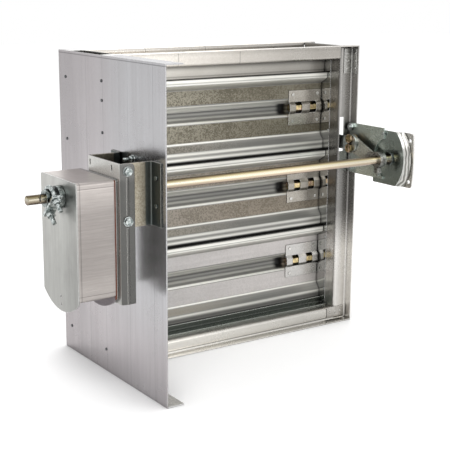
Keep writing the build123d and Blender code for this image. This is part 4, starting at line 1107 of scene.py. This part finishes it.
class DAMPER_OT_details(DamperPiece, bpy.types.Operator):
    """Add the small rivets of the spring seals and the bolt on the sideplate"""

    bl_idname = "damper.details"
    bl_label = "Small fasteners"

    def execute(self, context):
        fittings = context.scene.fitting_finish
        metal = plated("Small rivet zinc", fittings.zinc, fittings.zinc_dark, rough=0.22)
        for side, node in ((1, "right_jamb_seal"), (-1, "left_jamb_seal")):
            low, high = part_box(node)
            face_x = side * (max(abs(low[0]), abs(high[0])) - 0.0006)
            places = []
            for y in (low[1] + 0.003, high[1] - 0.003):
                for step in (0.06, 0.28, 0.5, 0.72, 0.94):
                    z = low[2] + (high[2] - low[2]) * step
                    places.append(((face_x, y, z), (-side, 0, 0)))
            mesh = dome_mesh(f"{node}_rivets", places, 0.0016, 0.0008)
            link_object(f"{node}_rivets", mesh, metal, "frame")
        plate_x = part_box("sideplate")[0][0]
        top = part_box("actuator_channel")[1][2]
        nut = plated("Plate nut zinc", fittings.zinc, fittings.zinc_dark, rough=0.14, patch=0.004)
        mesh = bolt_mesh("plate_bolt", (plate_x, -0.143, top - 0.0045), 0.0045, 0.0022, 0.015)
        link_object("plate_bolt", mesh, nut, "frame")
        return {"FINISHED"}


def camera_matrix(look):
    """Place and heading of the camera."""
    turn, dip, roll = look.camera_turn, look.camera_dip, look.camera_roll
    forward = Vector((math.sin(turn) * math.cos(dip), math.cos(turn) * math.cos(dip), -math.sin(dip)))
    right = Vector((math.cos(turn), -math.sin(turn), 0.0))
    up = right.cross(forward)
    right_rolled = math.cos(roll) * right + math.sin(roll) * up
    up_rolled = -math.sin(roll) * right + math.cos(roll) * up
    matrix = Matrix((right_rolled, up_rolled, -forward)).transposed().to_4x4()
    matrix.translation = look.camera_place
    return matrix


def area_lamp(name, place, target, size, power):
    """Soft square lamp that points at a target."""
    lamp = bpy.data.lights.new(name, "AREA")
    lamp.shape = "RECTANGLE"
    lamp.size, lamp.size_y = size
    lamp.energy = power
    holder = bpy.data.objects.new(name, lamp)
    holder.location = place
    heading = Vector(target) - Vector(place)
    holder.rotation_euler = heading.to_track_quat("-Z", "Y").to_euler()
    bpy.context.scene.collection.objects.link(holder)


def seen_white(tree):
    """Mask of the rays that should meet a plain white background."""
    path = tree.nodes.new("ShaderNodeLightPath")
    seen = math_node(tree, "MAXIMUM", path.outputs["Is Camera Ray"], path.outputs["Is Glossy Ray"])
    return math_node(tree, "MAXIMUM", seen, path.outputs["Is Transmission Ray"])


class DAMPER_OT_stage(DamperPiece, bpy.types.Operator):
    """Set the floor, the light and the camera"""

    bl_idname = "damper.stage"
    bl_label = "Stage"

    def execute(self, context):
        scene = context.scene
        look = scene.stage_look
        scene.view_settings.view_transform = "Standard"
        camera = bpy.data.cameras.new("Camera")
        camera.sensor_width = 36.0
        camera.lens = look.lens
        camera.clip_end = 60.0
        holder = bpy.data.objects.new("Camera", camera)
        holder.matrix_world = camera_matrix(look)
        scene.collection.objects.link(holder)
        scene.camera = holder

        world = bpy.data.worlds.new("White room")
        world.use_nodes = True
        scene.world = world
        tree = world.node_tree
        tree.nodes.clear()
        output = tree.nodes.new("ShaderNodeOutputWorld")
        mix = tree.nodes.new("ShaderNodeMixShader")
        tree.links.new(seen_white(tree), mix.inputs[0])
        for socket, strength in zip(mix.inputs[1:], (look.world_light, 1.0)):
            white = tree.nodes.new("ShaderNodeBackground")
            white.inputs["Color"].default_value = (1.0, 1.0, 1.0, 1.0)
            white.inputs["Strength"].default_value = strength
            tree.links.new(white.outputs[0], socket)
        tree.links.new(mix.outputs[0], output.inputs["Surface"])

        floor_mesh = bpy.data.meshes.new("Floor")
        half = look.floor_size / 2
        corners = [(-half, -half, 0), (half, -half, 0), (half, half, 0), (-half, half, 0)]
        floor_mesh.from_pydata(corners, [], [(0, 1, 2, 3)])
        floor = bpy.data.objects.new("Floor", floor_mesh)
        floor.location.z = -0.0004
        scene.collection.objects.link(floor)
        material, floor_tree, shader, _ = new_material("White floor")
        shader.inputs["Roughness"].default_value = 0.9
        shader.inputs["Specular IOR Level"].default_value = 0.1
        shader.inputs["Emission Color"].default_value = (1.0, 1.0, 1.0, 1.0)
        near = floor_tree.nodes.new("ShaderNodeAmbientOcclusion")
        near.inputs["Distance"].default_value = look.shadow_reach
        bare = ramp_value(floor_tree, near.outputs["AO"], 0.30, 0.97)
        shadow = mix_colour(floor_tree, bare, (0.80, 0.80, 0.80), (0.97, 0.97, 0.97))
        floor_tree.links.new(shadow, shader.inputs["Base Color"])
        own_white = product(floor_tree, seen_white(floor_tree), bare, look.floor_white)
        floor_tree.links.new(own_white, shader.inputs["Emission Strength"])
        floor_mesh.materials.append(material)

        target = (0.0, -0.05, 0.22)
        area_lamp("Key", (-1.6, -1.8, 2.2), target, (1.6, 1.6), look.key_power)
        area_lamp("Fill", (0.6, -2.6, 0.7), target, (1.4, 1.0), look.fill_power)
        area_lamp("Back", (1.2, 1.8, 1.9), target, (1.6, 1.2), look.back_power)
        return {"FINISHED"}


OPERATORS = (
    DAMPER_OT_groups,
    DAMPER_OT_sideplate,
    DAMPER_OT_frame,
    DAMPER_OT_blades,
    DAMPER_OT_linkage,
    DAMPER_OT_shaft,
    DAMPER_OT_actuator,
    DAMPER_OT_details,
    DAMPER_OT_stage,
)


class DAMPER_PT_panel(bpy.types.Panel):
    """Lists the steps that dress the damper"""

    bl_idname = "DAMPER_PT_panel"
    bl_label = "Smoke damper"
    bl_space_type = "VIEW_3D"
    bl_region_type = "UI"
    bl_category = "Damper"

    def draw(self, context):
        for operator in OPERATORS:
            self.layout.operator(operator.bl_idname)
        for name in SETTINGS:
            box = self.layout.box()
            group = getattr(context.scene, name)
            for key in group.bl_rna.properties.keys():
                if key not in ("rna_type", "name"):
                    box.prop(group, key)


CLASSES = (*GROUPS, *OPERATORS, DAMPER_PT_panel)


def register():
    """Register the classes and hang the settings on the scene."""
    for item in CLASSES:
        bpy.utils.register_class(item)
    for name, group in zip(SETTINGS, GROUPS):
        setattr(bpy.types.Scene, name, bpy.props.PointerProperty(type=group))


def unregister():
    """Remove the settings and the classes."""
    for name in SETTINGS:
        delattr(bpy.types.Scene, name)
    for item in reversed(CLASSES):
        bpy.utils.unregister_class(item)


def main():
    """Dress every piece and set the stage."""
    register()
    bpy.ops.damper.groups()
    bpy.ops.damper.sideplate()
    bpy.ops.damper.frame()
    bpy.ops.damper.blades()
    bpy.ops.damper.linkage()
    bpy.ops.damper.shaft()
    bpy.ops.damper.actuator()
    bpy.ops.damper.details()
    bpy.ops.damper.stage()


if __name__ == "__main__":
    main()
